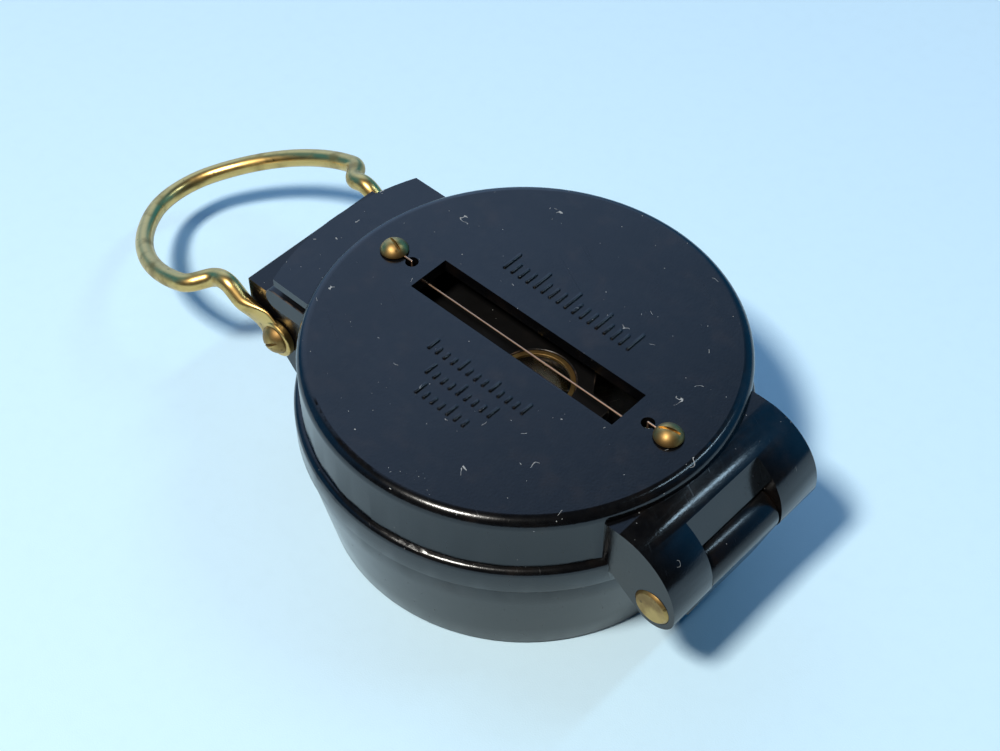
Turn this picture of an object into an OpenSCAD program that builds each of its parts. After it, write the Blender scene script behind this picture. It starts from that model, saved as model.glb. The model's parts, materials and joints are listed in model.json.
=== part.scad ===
// Folding sighting compass: a moulded case and a hinged lid with a slot and a hairline,
// a folding eyepiece, a turning bezel, a liquid-damped dial and a wire thumb ring.
// Millimetres. The origin is on the dial's axis at the flat bottom of the case.
// +X points to the lid's hinge, which is the sighting direction, and +Z points up.

/* [Case] */
// Outer diameter of the round body at the lid's band
body_d = 56.8; // [50:0.2:70]
// Height of the case, from its flat bottom to the seam under the lid
case_h = 15; // [12.5:0.5:20]
// Diameter of the case at its flat bottom
bottom_d = 51; // [42:0.5:52]
// Thickness of the case's floor
floor_t = 2.4; // [1.6:0.2:3]
// Wall of the neck that carries the bezel
neck_wall = 1.55; // [1.2:0.05:2]

/* [Lid] */
// Height of the lid, from the seam to its flat top
lid_h = 11.9; // [10.5:0.1:15]
// Wall of the lid beside the dial
lid_wall = 1.2; // [0.9:0.1:1.6]
// Thickness of the lid's top plate
lid_plate = 1.85; // [1.2:0.05:2.2]
// Radius of the lid's rounded top rim
rim_r = 1.4; // [0.6:0.1:1.8]
// Height of the wider band above the seam
band_h = 3.75; // [2.5:0.25:5]
// How far the band stands out from the lid's wall
band_step = 0.9; // [0.4:0.1:1.2]
// Length of the sighting slot
slot_l = 32.5; // [26:0.5:36]
// Width of the sighting slot
slot_w = 6.1; // [4.4:0.1:8]
// Width of the rear finger tab
tab_w = 25.4; // [20:0.2:28]
// Thickness of the rear finger tab
tab_t = 1.2; // [0.8:0.1:1.4]

/* [Hinge] */
// Overall width of the hinge's knuckles
hinge_w = 26.6; // [20:0.2:30]
// Width of the middle knuckle, which is part of the case
middle_w = 12.3; // [9:0.1:15]
// Diameter of the hinge pin
pin_d = 4.8; // [3:0.1:4.8]
// Radius of the outer knuckles under the pin
knuckle_r = 3.2; // [3.1:0.1:3.7]

/* [Thumb ring] */
// Diameter of the ring's brass wire
wire_d = 2.5; // [2:0.1:2.6]
// Distance of the bow's widest wire from the middle plane
bow_side = 15.7; // [15:0.1:18]
// Radius of the bow's end
tip_r = 10; // [9:0.2:13]
// Length of the ring's straight legs
leg_l = 8.6; // [8:0.1:11]
// Angle at which the legs rise, as the ring stands
leg_rise = 34; // [20:1:38]
// Angle at which the bow turns down from the legs
bow_drop = 54; // [40:1:60]

/* [Lug and eyepiece] */
// Width of the rear lug
lug_w = 22.4; // [18:0.2:24]
// How far the rear lug stands out from the band
lug_out = 9.8; // [8:0.1:12]
// Distance from the eyepiece's hinge to its lens
eye_reach = 33.2; // [26:0.2:36]
// Diameter of the eyepiece lens
lens_d = 10; // [7:0.2:11]
// Width of the notch that one sights through
notch_w = 1.2; // [0.6:0.1:2]

/* [Bezel and dial] */
// Height of the turning bezel
bezel_h = 3.6; // [3.6:0.1:4.6]
// Number of clicks in one turn of the bezel
click_count = 72; // [24:12:96]
// Gap between the dial card and the wall of its capsule
card_gap = 0.85; // [0.6:0.05:2]
// Diameter of the float hub in the middle of the card
hub_d = 10.4; // [8:0.2:12]
// Diameter of the brass pivot post
post_d = 2.4; // [1.6:0.1:3]

/* [Hidden] */
$fn = 96;

// Colours as the pieces look
BLACK = [0.05, 0.05, 0.06];
BRASS = [0.70, 0.57, 0.25];
STEEL = [0.62, 0.63, 0.65];
CLEAR = [0.75, 0.88, 0.92, 0.35];
LUME = [0.78, 0.86, 0.62];
RUBBER = [0.12, 0.12, 0.12];

// Clearances
run_gap = 0.05;     // radial, in a running fit
seat_gap = 0.05;    // round a piece that drops into a seat
thread_gap = 0.03;  // round a screw or a pressed-in piece
side_gap = 0.3;     // between pieces that pass each other
seam_gap = 0.08;    // between the closed lid and the case
eps = 0.01;         // overlap of a cut with the face that it opens

// Round body
band_r = body_d / 2;
lid_r = band_r - band_step;
lid_in_r = lid_r - lid_wall;
case_top_r = band_r - 0.2;
lid_top = case_h + lid_h;
plate_under = lid_top - lid_plate;

// Bezel and the neck that it turns on
bezel_r = lid_in_r - 0.5;
bezel_wall = 1.45;
bezel_in_r = bezel_r - bezel_wall;
bezel_z = case_h + side_gap;
bezel_top = bezel_z + bezel_h;
bezel_lip = 0.35;
neck_r = bezel_in_r - run_gap;
neck_in_r = neck_r - neck_wall;
bezel_glass_t = 0.7;
bezel_glass_r = bezel_in_r - 0.9;
bezel_glass_z = bezel_top - bezel_lip - bezel_glass_t;
glass_ring_t = 0.4;
neck_top = bezel_glass_z - glass_ring_t - side_gap;
groove_z = case_h + 0.95;
groove_h = 0.6;
groove_depth = 0.6;
snap_wall = 0.05;
click_r = 0.32;
click_mid_r = (bezel_in_r + bezel_r) / 2;
click_l = 8;
click_w = 0.9;
click_pocket = 1;

// Capsule, measured down from the bezel glass
capsule_r = neck_in_r - seat_gap;
capsule_top = bezel_glass_z - 0.15;
capsule_z = floor_t + 2.6;
capsule_floor = 1;
capsule_neck_r = capsule_r - 0.75;
capsule_in_r = capsule_r - 1.75;
crimp_t = 0.3;
capsule_glass_t = 1.1;
capsule_glass_r = capsule_neck_r - 0.6;
capsule_glass_z = capsule_top - crimp_t - capsule_glass_t;
gasket_t = 0.4;
clamp_t = 1.6;
clamp_z = neck_top - clamp_t - 0.6;

// Floating dial
card_r = capsule_in_r - card_gap;
card_t = 0.35;
card_z = capsule_glass_z - 2.4;
hub_r = hub_d / 2;
hub_z = card_z - 0.9;
hub_top = capsule_glass_z - 0.25;
jewel_r = 1;
jewel_t = 0.9;
jewel_z = card_z + 0.75;
magnet_l = 15;
magnet_w = 2;
magnet_t = 1.2;
magnet_y = hub_r + magnet_w / 2 + 0.3;
post_r = post_d / 2;
post_top = card_z - 3;
point_r = 0.5;
point_top = jewel_z + 0.4;
point_seat = 1.5;
mark_t = 0.12;

// Bottom of the capsule
diaphragm_x = -11;
diaphragm_r = 6.2;
diaphragm_hole_r = 4.4;
diaphragm_t = 0.5;
filler_x = 12;
filler_r = 1.25;

// Hinge
hinge_x = band_r + knuckle_r;
hinge_z = case_h + 1.4;
pin_r = pin_d / 2;
middle_r = knuckle_r - 0.1;
web_top = lid_top - rim_r - 0.3;
bulge_z = hinge_z + 0.2;
bulge_r = web_top - bulge_z;
bulge_x = hinge_x + knuckle_r - bulge_r;
web_in_x = lid_in_r - 4;
relief_r = middle_r + side_gap;
relief_w = middle_w + 2 * side_gap;
web_front = [hinge_x + 0.2, hinge_z + relief_r + 0.1];
web_front_lean = 20;
ridge_r = 0.8;
gusset_lean = 18;
gusset_z = 7.2;

// Rear lug, eyepiece and thumb ring
lug_x = -(band_r + lug_out);
lug_top = bezel_top + 0.2;
lug_end_h = 3.7;
lug_h = 12.9;
lug_foot_x = -(band_r + 2.1);
barrel_r = 1.5;
eye_x = -(band_r + 3.1);
eye_z = lug_top + side_gap + barrel_r;
eye_pin_r = 0.8;
block_w = tab_w;
block_top = eye_z + barrel_r;
ear_w = 2.5;
ear_y = 5.4;
ear_r = barrel_r - 0.1;
bracket_z = eye_z - barrel_r;
bracket_t = 1.4;
lens_x = eye_x + eye_reach;
lens_r = lens_d / 2;
lens_t = 1.1;
lens_edge = 0.5;
lens_seat_r = lens_r - 0.55;
lens_seat_z = bracket_z + 0.25;
bracket_tip_x = lens_x + 9.8;
bracket_w = 17;
tip_w = 6.4;
notch_l = 3.4;
tab_arc_r = band_r + 5.1;
tab_top = lid_top - 1.9;
pivot_x = -(band_r + 4.4);
pivot_z = case_h - 2.8;
pivot_shank_r = 0.9;
pivot_head_r = 2.1;
pivot_head_h = 1.3;
ring_eye_r = 2.7;
ring_eye_t = 1.1;
ring_eye_y = lug_w / 2 + seat_gap + ring_eye_t / 2;
leg_y = lug_w / 2 + seat_gap + 0.1 + wire_d / 2;
drop_r = 2.5;
link_l = 0.2;
bend_r = 2.5;
splay = 50;
shoulder_r = 3;
side_r = 23;
side_lead = 3;
wire_lap = 0.25;
bend_wire_r = wire_d / 2 + 0.025;

// Sight wire and its screws
hair_r = 0.12;
hair_hole_x = slot_l / 2 + 2.85;
hair_hole_r = 0.85;
screw_x = slot_l / 2 + 5.9;
screw_r = 0.8;
screw_head_r = 1.85;
screw_head_h = 1.25;
screw_l = 3.4;
boss_r = 2;
hair_over = lid_top + hair_r + 0.01;
hair_under = plate_under - hair_r - 0.01;
head_z = hair_over + hair_r + 0.01;

// A ring about the dial's axis
module flat_ring(outer, inner, z, height) {
    translate([0, 0, z])
        difference() {
            cylinder(r = outer, h = height);
            translate([0, 0, -eps]) cylinder(r = inner, h = height + 2 * eps);
        }
}

// Extrudes an outline drawn in X and Z along Y, from y0 to y1
module across(y0, y1) {
    translate([0, y1, 0]) rotate([90, 0, 0]) linear_extrude(height = y1 - y0) children();
}

// Round bar along Y at a place in X and Z
module bar(x, z, radius, y0, y1) {
    translate([x, y0, z]) rotate([-90, 0, 0]) cylinder(r = radius, h = y1 - y0);
}

// Slotted round-head screw that points down, with its head's underside at z = 0
module round_head_screw(head_r, head_h, shank_r, shank_l) {
    ball_r = (head_r * head_r + head_h * head_h) / (2 * head_h);
    slot_depth = head_h * 0.45;
    difference() {
        rotate_extrude()
            intersection() {
                translate([0, head_h - ball_r]) circle(r = ball_r);
                square([head_r, head_h]);
            }
        translate([-head_r, -head_r * 0.1, head_h - slot_depth])
            cube([2 * head_r, head_r * 0.2, slot_depth + 1]);
    }
    translate([0, 0, -shank_l]) cylinder(r = shank_r, h = shank_l);
}

// Side outline of the hinge web and its outer knuckles, in X and Z
module knuckle_outline() {
    wall_x = sqrt(lid_r * lid_r - hinge_w * hinge_w / 4);
    far_x = hinge_x + knuckle_r + 1;
    translate([hinge_x, hinge_z]) circle(r = knuckle_r);
    intersection() {
        union() {
            translate([bulge_x, bulge_z]) circle(r = bulge_r);
            translate([0, case_h]) square([bulge_x, web_top - case_h]);
        }
        polygon([
            [web_in_x, lid_top], [far_x, lid_top], [far_x, hinge_z], [hinge_x, hinge_z],
            [hinge_x - 0.77 * knuckle_r, hinge_z - 0.64 * knuckle_r],
            [wall_x + 1.6, case_h + 2], [web_in_x, case_h + 2]
        ]);
    }
}

module case_shell() {
    rotate_extrude()
        polygon([
            [0, 0], [bottom_d / 2 - 0.3, 0], [bottom_d / 2, 0.3],
            [case_top_r, case_h - 0.25], [case_top_r - 0.25, case_h],
            [neck_r, case_h], [neck_r, neck_top], [0, neck_top]
        ]);
}

module rear_lug() {
    difference() {
        across(-lug_w / 2, lug_w / 2)
            polygon([
                [-neck_in_r, lug_top], [lug_x, lug_top], [lug_x, lug_top - lug_end_h],
                [lug_foot_x, lug_top - lug_h], [-neck_in_r, lug_top - lug_h]
            ]);
        translate([0, 0, case_h]) cylinder(r = bezel_r + side_gap, h = lid_h);
    }
    for (side = [-1, 1])
        translate([0, side * (ear_y + ear_w / 2), 0])
            across(-ear_w / 2, ear_w / 2) {
                translate([eye_x, eye_z]) circle(r = ear_r);
                translate([eye_x - ear_r, lug_top - eps]) square([2 * ear_r, eye_z - lug_top + eps]);
            }
}

module middle_knuckle() {
    front = [hinge_x, hinge_z] + middle_r * [cos(gusset_lean), -sin(gusset_lean)];
    front_l = (front[1] - gusset_z) / cos(gusset_lean);
    across(-middle_w / 2, middle_w / 2) {
        translate([hinge_x, hinge_z]) circle(r = middle_r);
        // gusset under the knuckle
        polygon([
            [neck_r - 1, case_h - seam_gap], [hinge_x - 1, case_h - seam_gap], [hinge_x, hinge_z],
            front, front - front_l * [sin(gusset_lean), cos(gusset_lean)], [neck_r - 1, gusset_z]
        ]);
    }
}

module case_body() color(BLACK)
    difference() {
        union() {
            case_shell();
            rear_lug();
            middle_knuckle();
        }
        // seat of the capsule, and the room under it
        translate([0, 0, capsule_z]) cylinder(r = neck_in_r, h = lid_top);
        translate([0, 0, floor_t]) cylinder(r = neck_in_r - 3, h = lid_top);
        // groove of the snap ring
        flat_ring(neck_r + 1, neck_r - groove_depth, groove_z, groove_h);
        // pocket of the click spring
        translate([-click_l / 2 - 0.3, click_mid_r - click_w / 2 - 0.15, case_h - click_pocket])
            cube([click_l + 0.6, click_w + 0.3, click_pocket + 1]);
        bar(hinge_x, hinge_z, pin_r + run_gap, -middle_w, middle_w);
        bar(eye_x, eye_z, eye_pin_r + run_gap, -lug_w, lug_w);
        for (side = [-1, 1])
            translate([pivot_x, side * lug_w / 2, pivot_z])
                rotate([side * 90, 0, 0])
                    translate([0, 0, -eps]) cylinder(r = pivot_shank_r + thread_gap, h = 5);
    }

module lid_shell() {
    shoulder_r = band_step;
    shoulder_z = case_h + band_h - shoulder_r;
    rotate_extrude() {
        square([lid_r - rim_r, lid_h + case_h]);
        square([lid_r, lid_top - rim_r]);
        translate([lid_r - rim_r, lid_top - rim_r]) circle(r = rim_r);
        square([band_r, shoulder_z]);
        translate([lid_r, shoulder_z]) circle(r = shoulder_r);
    }
}

module finger_tab() {
    translate([0, 0, tab_top - tab_t])
        linear_extrude(height = tab_t)
            intersection() {
                circle(r = tab_arc_r);
                translate([-tab_arc_r, -tab_w / 2]) square([tab_arc_r - lid_in_r + 8, tab_w]);
            }
}

// What is cut from the edge between the web's top and its sloping front, to round it
module ridge_rounding() {
    along = [-sin(web_front_lean), cos(web_front_lean)];
    out = [cos(web_front_lean), sin(web_front_lean)];
    from_bulge = web_front - ridge_r * out - [bulge_x, bulge_z];
    run = from_bulge * along;
    rise = -run + sqrt(run * run - from_bulge * from_bulge + pow(bulge_r - ridge_r, 2));
    mid = web_front + rise * along - ridge_r * out;
    up = (mid - [bulge_x, bulge_z]) / (bulge_r - ridge_r);
    difference() {
        polygon([mid, mid + ridge_r * out, mid + ridge_r * (out + 2 * along), mid + 2 * ridge_r * up]);
        translate(mid) circle(r = ridge_r);
    }
}

// Room for the middle knuckle and its gusset, under the web's sloping front
module hinge_relief() {
    up = 8 * [-sin(web_front_lean), cos(web_front_lean)];
    far_x = hinge_x + 2 * knuckle_r;
    across(-relief_w / 2, relief_w / 2) {
        translate([hinge_x, hinge_z]) circle(r = relief_r);
        translate([lid_in_r, 0]) square([far_x - lid_in_r, case_h + seam_gap]);
        polygon([
            web_front + up, [far_x, web_front[1] + up[1]], [far_x, case_h], [hinge_x, case_h],
            [hinge_x, hinge_z], web_front
        ]);
        ridge_rounding();
    }
}

module lid_cover() color(BLACK)
    difference() {
        union() {
            difference() {
                union() {
                    lid_shell();
                    finger_tab();
                    across(-hinge_w / 2, hinge_w / 2) knuckle_outline();
                }
                translate([0, 0, -1]) cylinder(r = lid_in_r, h = plate_under + 1);
            }
            for (side = [-1, 1])
                translate([side * screw_x, 0, head_z - screw_l]) cylinder(r = boss_r, h = screw_l - 1);
        }
        // everything under the seam
        translate([0, 0, -1]) cylinder(r = band_r + 0.5, h = case_h + seam_gap + 1);
        translate([-slot_l / 2, -slot_w / 2, plate_under - 1]) cube([slot_l, slot_w, lid_plate + 2]);
        // way out for the lug and the eyepiece's hinge block
        translate([-band_r - 1, -block_w / 2 - 0.25, 0])
            cube([band_r, block_w + 0.5, block_top + side_gap]);
        hinge_relief();
        bar(hinge_x, hinge_z, pin_r + run_gap, -hinge_w, hinge_w);
        for (side = [-1, 1]) {
            // teardrop hole that the wire comes up through
            translate([side * hair_hole_x, 0, plate_under - 3])
                cylinder(r = hair_hole_r, h = lid_plate + 4);
            translate([side * (hair_hole_x + 0.9) - 0.7, -0.3, plate_under - 3])
                cube([1.4, 0.6, lid_plate + 4]);
            translate([side * screw_x, 0, plate_under - 3]) cylinder(r = screw_r + thread_gap, h = lid_plate + 4);
        }
    }

module hinge_pin() color(BRASS) {
    half = hinge_w / 2 + 0.3;
    translate([hinge_x, 0, hinge_z])
        rotate([-90, 0, 0])
            rotate_extrude()
                polygon([
                    [0, -half], [pin_r - 0.3, -half], [pin_r, -half + 0.3],
                    [pin_r, half - 0.3], [pin_r - 0.3, half], [0, half]
                ]);
}

module sight_wire() color([0.72, 0.47, 0.30]) {
    loop_r = screw_r + hair_r + 0.02;
    translate([-hair_hole_x, 0, hair_under]) rotate([0, 90, 0]) cylinder(r = hair_r, h = 2 * hair_hole_x);
    for (side = [-1, 1]) {
        translate([side * hair_hole_x, 0, hair_under]) sphere(r = hair_r);
        translate([side * hair_hole_x, 0, hair_over]) sphere(r = hair_r);
        translate([side * hair_hole_x, 0, hair_under]) cylinder(r = hair_r, h = hair_over - hair_under);
        translate([side * hair_hole_x, 0, hair_over])
            rotate([0, side * 90, 0]) cylinder(r = hair_r, h = screw_x - loop_r - hair_hole_x);
        translate([side * screw_x, 0, hair_over])
            rotate([0, 0, side > 0 ? 180 : 0])
                rotate_extrude(angle = 250) translate([loop_r, 0]) circle(r = hair_r, $fn = 24);
    }
}

module sight_wire_screws() color(BRASS)
    for (side = [-1, 1])
        translate([side * screw_x, 0, head_z])
            rotate([0, 0, side > 0 ? 20 : -15])
                round_head_screw(screw_head_r, screw_head_h, screw_r, screw_l);

// Round wire bent from one angle to another about the origin
module bent_wire(radius, wire_r, from, to) {
    rotate([0, 0, from]) rotate_extrude(angle = to - from) translate([radius, 0]) circle(r = wire_r);
}

// Straight wire along an angle in a plane, lapped into what it meets at both ends
module straight_wire(start, angle, length) {
    translate([start[0], start[1], 0])
        rotate([0, 0, angle]) rotate([0, 90, 0])
            translate([0, 0, -wire_lap]) cylinder(r = wire_d / 2, h = length + 2 * wire_lap);
}

// The ring's bow in its own plane: X runs out from the legs' bends, Y to the side
module ring_bow() {
    bend_end = [link_l + bend_r * sin(splay), leg_y + bend_r * (1 - cos(splay))];
    shoulder_y = bow_side - side_r + (side_r - shoulder_r) * cos(side_lead);
    slant = (shoulder_y + shoulder_r * cos(splay) - bend_end[1]) / sin(splay);
    shoulder = [bend_end[0] + slant * cos(splay) + shoulder_r * sin(splay), shoulder_y];
    side = [shoulder[0] + (side_r - shoulder_r) * sin(side_lead), bow_side - side_r];
    tip_x = side[0] + sqrt(pow(side_r - tip_r, 2) - side[1] * side[1]);
    join = atan2(-side[1], tip_x - side[0]);
    lap = wire_lap / side_r * 180 / PI;
    translate([tip_x, 0, 0]) bent_wire(tip_r, bend_wire_r, -join, join);
    for (mirrored = [0, 1]) mirror([0, mirrored, 0]) {
        straight_wire([0, leg_y], 0, link_l);
        translate([link_l, leg_y + bend_r, 0]) bent_wire(bend_r, bend_wire_r, -90, splay - 90);
        straight_wire(bend_end, splay, slant);
        translate([shoulder[0], shoulder[1], 0])
            bent_wire(shoulder_r, bend_wire_r, 90 + side_lead, 90 + splay);
        translate([side[0], side[1], 0]) bent_wire(side_r, wire_d / 2, join - lap, 90 + side_lead + lap);
    }
}

// One leg and its flattened eye: X runs out from the pivot along the leg
module ring_leg() {
    translate([0, leg_y, 0]) rotate([0, 90, 0]) cylinder(r = wire_d / 2, h = leg_l + wire_lap);
    translate([leg_l, leg_y, -drop_r])
        rotate([90, 0, 0]) bent_wire(drop_r, bend_wire_r, 90 - bow_drop, 90);
    bar(0, 0, ring_eye_r, ring_eye_y - ring_eye_t / 2, ring_eye_y + ring_eye_t / 2);
    across(ring_eye_y - ring_eye_t / 2, ring_eye_y + ring_eye_t / 2)
        polygon([[0, -ring_eye_r + 0.1], [leg_l - 2, -0.9], [leg_l - 2, 0.9], [0, ring_eye_r - 0.1]]);
}

module thumb_ring() color(BRASS)
    translate([pivot_x, 0, pivot_z])
        rotate([0, -leg_rise, 180])
            difference() {
                union() {
                    for (side = [0, 1]) mirror([0, side, 0]) ring_leg();
                    translate([leg_l, 0, -drop_r])
                        rotate([0, bow_drop, 0]) translate([0, 0, drop_r]) ring_bow();
                }
                for (side = [0, 1]) mirror([0, side, 0]) {
                    bar(0, 0, pivot_head_r + 0.25, ring_eye_y + ring_eye_t / 2, 20);
                    bar(0, 0, pivot_shank_r + run_gap, 1, 20);
                }
            }

module ring_pivot_screws() color(BRASS)
    for (side = [-1, 1])
        translate([pivot_x, side * (ring_eye_y + ring_eye_t / 2 + seat_gap), pivot_z])
            rotate([-side * 90, 0, 0])
                rotate([0, 0, 35])
                    round_head_screw(pivot_head_r, pivot_head_h, pivot_shank_r, 4);

module eyepiece_bracket() color(BLACK)
    difference() {
        union() {
            // hinge block with a round back
            across(-block_w / 2, block_w / 2) {
                translate([eye_x, eye_z]) circle(r = barrel_r);
                translate([eye_x, eye_z - barrel_r])
                    square([-lid_r + 3.2 - eye_x, 2 * barrel_r]);
            }
            // plate over the dial
            translate([0, 0, bracket_z])
                linear_extrude(height = bracket_t)
                    for (side = [0, 1]) mirror([0, side])
                        polygon([
                            [eye_x, 0], [eye_x + 3, block_w / 2], [-bezel_r + 4, block_w / 2 - 1],
                            [-bezel_r + 9, bracket_w / 2], [lens_x + 3, bracket_w / 2],
                            [lens_x + lens_r + 1.6, tip_w / 2], [bracket_tip_x - 0.8, tip_w / 2],
                            [bracket_tip_x, tip_w / 2 - 0.8], [bracket_tip_x, 0]
                        ]);
        }
        // slots for the lug's ears
        for (side = [-1, 1])
            translate([eye_x - barrel_r - 1, side * (ear_y + ear_w / 2) - ear_w / 2 - 0.2, 0])
                cube([2 * barrel_r + 1.4, ear_w + 0.4, lid_top]);
        bar(eye_x, eye_z, eye_pin_r + run_gap, 1.5 - block_w / 2, block_w);
        translate([lens_x, 0, lens_seat_z]) cylinder(r = lens_r + seat_gap, h = 5);
        translate([lens_x, 0, 0]) cylinder(r = lens_seat_r, h = lid_top);
        translate([bracket_tip_x - notch_l - 0.8, -notch_w / 2, 0]) cube([notch_l, notch_w, lid_top]);
    }

module eyepiece_lens() color(CLEAR) {
    half_t = lens_t / 2;
    dome_r = lens_seat_r - seat_gap;
    dome = half_t - lens_edge / 2;
    ball_r = (dome_r * dome_r + dome * dome) / (2 * dome);
    translate([lens_x, 0, lens_seat_z + lens_edge / 2])
        rotate_extrude() {
            intersection() {
                translate([0, half_t - ball_r]) circle(r = ball_r, $fn = 360);
                translate([0, ball_r - half_t]) circle(r = ball_r, $fn = 360);
                translate([0, -lens_t]) square([dome_r, 2 * lens_t]);
            }
            translate([0, -lens_edge / 2]) square([lens_r, lens_edge]);
        }
}

module lens_retaining_ring() color(BRASS)
    translate([lens_x, 0, 0]) flat_ring(lens_r, lens_r - 0.6, lens_seat_z + lens_edge + 0.01, 0.5);

module eyepiece_hinge_pin() color(STEEL)
    bar(eye_x, eye_z, eye_pin_r, 1.7 - block_w / 2, block_w / 2 - 0.1);

module bezel_ring() color(BLACK)
    difference() {
        rotate_extrude()
            polygon([
                [bezel_in_r, bezel_z], [bezel_r, bezel_z], [bezel_r, bezel_top - 0.5],
                [bezel_r - 0.5, bezel_top], [bezel_glass_r - 0.8, bezel_top],
                [bezel_glass_r - 0.8, bezel_top - bezel_lip],
                [bezel_glass_r + seat_gap, bezel_top - bezel_lip],
                [bezel_glass_r + seat_gap, bezel_glass_z], [bezel_in_r, bezel_glass_z]
            ]);
        flat_ring(bezel_in_r + groove_depth, bezel_in_r - 1, groove_z, groove_h);
        // click notches underneath, and grip scallops round the outside
        for (step = [0 : click_count - 1])
            rotate([0, 0, step * 360 / click_count + 90]) {
                translate([bezel_in_r - 1, 0, bezel_z])
                    rotate([0, 90, 0]) cylinder(r = click_r, h = bezel_wall + 2, $fn = 24);
                translate([bezel_r + 0.35, 0, bezel_z - 1])
                    cylinder(r = 0.7, h = bezel_h - 0.2, $fn = 24);
            }
    }

module bezel_glass() color(CLEAR)
    translate([0, 0, bezel_glass_z]) cylinder(r = bezel_glass_r, h = bezel_glass_t);

module bezel_glass_ring() color(BRASS)
    flat_ring(bezel_in_r - run_gap, bezel_glass_r - 0.6, bezel_glass_z - glass_ring_t, glass_ring_t);

module bezel_index_line() color(LUME)
    translate([bezel_glass_r - 9, -0.4, bezel_glass_z - mark_t]) cube([7.5, 0.8, mark_t]);

module bezel_snap_ring() color(STEEL)
    difference() {
        flat_ring(bezel_in_r + groove_depth - 0.1, neck_r - groove_depth + snap_wall,
                  groove_z + 0.05, groove_h - 0.1);
        // split
        translate([-1.5, -bezel_r - 1, groove_z]) cube([3, 6, groove_h]);
    }

module bezel_click_spring() color(STEEL) {
    base = case_h - click_pocket + 0.05;
    peak = bezel_z + click_r * 0.4;
    half = click_l / 2;
    leaf = 0.2;
    translate([0, click_mid_r, 0])
        across(-click_w / 2, click_w / 2)
            polygon([
                [-half, base], [-half + 1.6, base], [-0.15, peak - leaf], [0.15, peak - leaf],
                [half - 1.6, base], [half, base], [half, base + leaf], [half - 1.5, base + leaf],
                [0.12, peak], [-0.12, peak], [-half + 1.5, base + leaf], [-half, base + leaf]
            ]);
}

module capsule_bowl() color(BRASS)
    difference() {
        rotate_extrude()
            polygon([
                [0, capsule_z], [capsule_r, capsule_z], [capsule_r, clamp_z],
                [capsule_neck_r, clamp_z], [capsule_neck_r, capsule_top],
                [capsule_in_r, capsule_top], [capsule_in_r, capsule_top - crimp_t],
                [capsule_glass_r + seat_gap, capsule_top - crimp_t],
                [capsule_glass_r + seat_gap, capsule_glass_z - gasket_t],
                [capsule_in_r, capsule_glass_z - gasket_t],
                [capsule_in_r, capsule_z + capsule_floor], [0, capsule_z + capsule_floor]
            ]);
        translate([diaphragm_x, 0, capsule_z - 1])
            cylinder(r = diaphragm_hole_r, h = capsule_floor + 2);
        translate([filler_x, 0, capsule_z - 1])
            cylinder(r = filler_r + thread_gap, h = capsule_floor + 2);
    }

module capsule_gasket() color(RUBBER)
    flat_ring(capsule_glass_r, capsule_in_r, capsule_glass_z - gasket_t, gasket_t);

module capsule_glass() color(CLEAR)
    translate([0, 0, capsule_glass_z]) cylinder(r = capsule_glass_r, h = capsule_glass_t);

module capsule_clamp_ring() color(BRASS)
    difference() {
        flat_ring(capsule_r, capsule_neck_r + seat_gap, clamp_z, clamp_t);
        // two slots for a pin spanner
        for (side = [-1, 1])
            translate([side * capsule_neck_r - 1, -0.8, clamp_z + clamp_t - 0.7]) cube([2, 1.6, 1]);
    }

module lubber_line() color(LUME)
    translate([capsule_in_r - 3.6, -0.25, capsule_glass_z - mark_t]) cube([3.4, 0.5, mark_t]);

module dial_card() color(BLACK)
    flat_ring(card_r, hub_r - 0.8, card_z, card_t);

module card_luminous_marks() color(LUME)
    translate([0, 0, card_z + card_t])
        linear_extrude(height = mark_t) {
            translate([card_r - 6.2, 0]) polygon([[0, -1.9], [3.4, 0], [0, 1.9]]);
            for (angle = [90, 180, 270]) rotate([0, 0, angle]) translate([card_r - 5, 0]) circle(r = 0.8);
        }

module float_hub() color(CLEAR)
    rotate_extrude()
        difference() {
            union() {
                translate([0, hub_z]) square([hub_r - 0.85, card_z + card_t + 0.1 - hub_z]);
                intersection() {
                    translate([0, hub_top - 8]) circle(r = 8);
                    translate([0, card_z + card_t]) square([hub_r - 0.85, 8]);
                }
            }
            translate([0, hub_z - 1]) square([jewel_r + thread_gap, jewel_z + jewel_t + 1 - hub_z]);
            translate([0, hub_z - 1]) square([2.6, jewel_z - 0.6 - hub_z + 1]);
        }

module hub_ring() color(BRASS)
    flat_ring(hub_r, hub_r - 0.8, card_z + card_t, 0.7);

module jewel_bearing() color([0.75, 0.2, 0.25])
    difference() {
        translate([0, 0, jewel_z]) cylinder(r = jewel_r, h = jewel_t);
        translate([0, 0, jewel_z - 0.01]) cylinder(r1 = 0.5, r2 = 0.1, h = 0.5);
    }

module card_magnets() color(STEEL)
    for (side = [-1, 1])
        translate([-magnet_l / 2, side * magnet_y - magnet_w / 2, card_z - magnet_t])
            cube([magnet_l, magnet_w, magnet_t]);

module pivot_post() color(BRASS)
    rotate_extrude()
        difference() {
            union() {
                translate([0, capsule_z + capsule_floor]) square([3, 0.8]);
                translate([0, capsule_z + capsule_floor])
                    square([post_r, post_top - capsule_z - capsule_floor]);
            }
            translate([0, post_top - point_seat]) square([point_r + thread_gap, 2]);
        }

module pivot_point() color(STEEL) {
    shank_z = post_top - point_seat;
    cone_h = 1.2;
    translate([0, 0, shank_z]) cylinder(r = point_r, h = point_top - cone_h - shank_z);
    translate([0, 0, point_top - cone_h]) cylinder(r1 = point_r, r2 = 0.05, h = cone_h);
}

module expansion_diaphragm() color(RUBBER)
    translate([diaphragm_x, 0, capsule_z - diaphragm_t]) cylinder(r = diaphragm_r, h = diaphragm_t);

module diaphragm_ring() color(BRASS)
    translate([diaphragm_x, 0, 0])
        flat_ring(diaphragm_r, diaphragm_hole_r, capsule_z - diaphragm_t - 0.8, 0.8);

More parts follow.
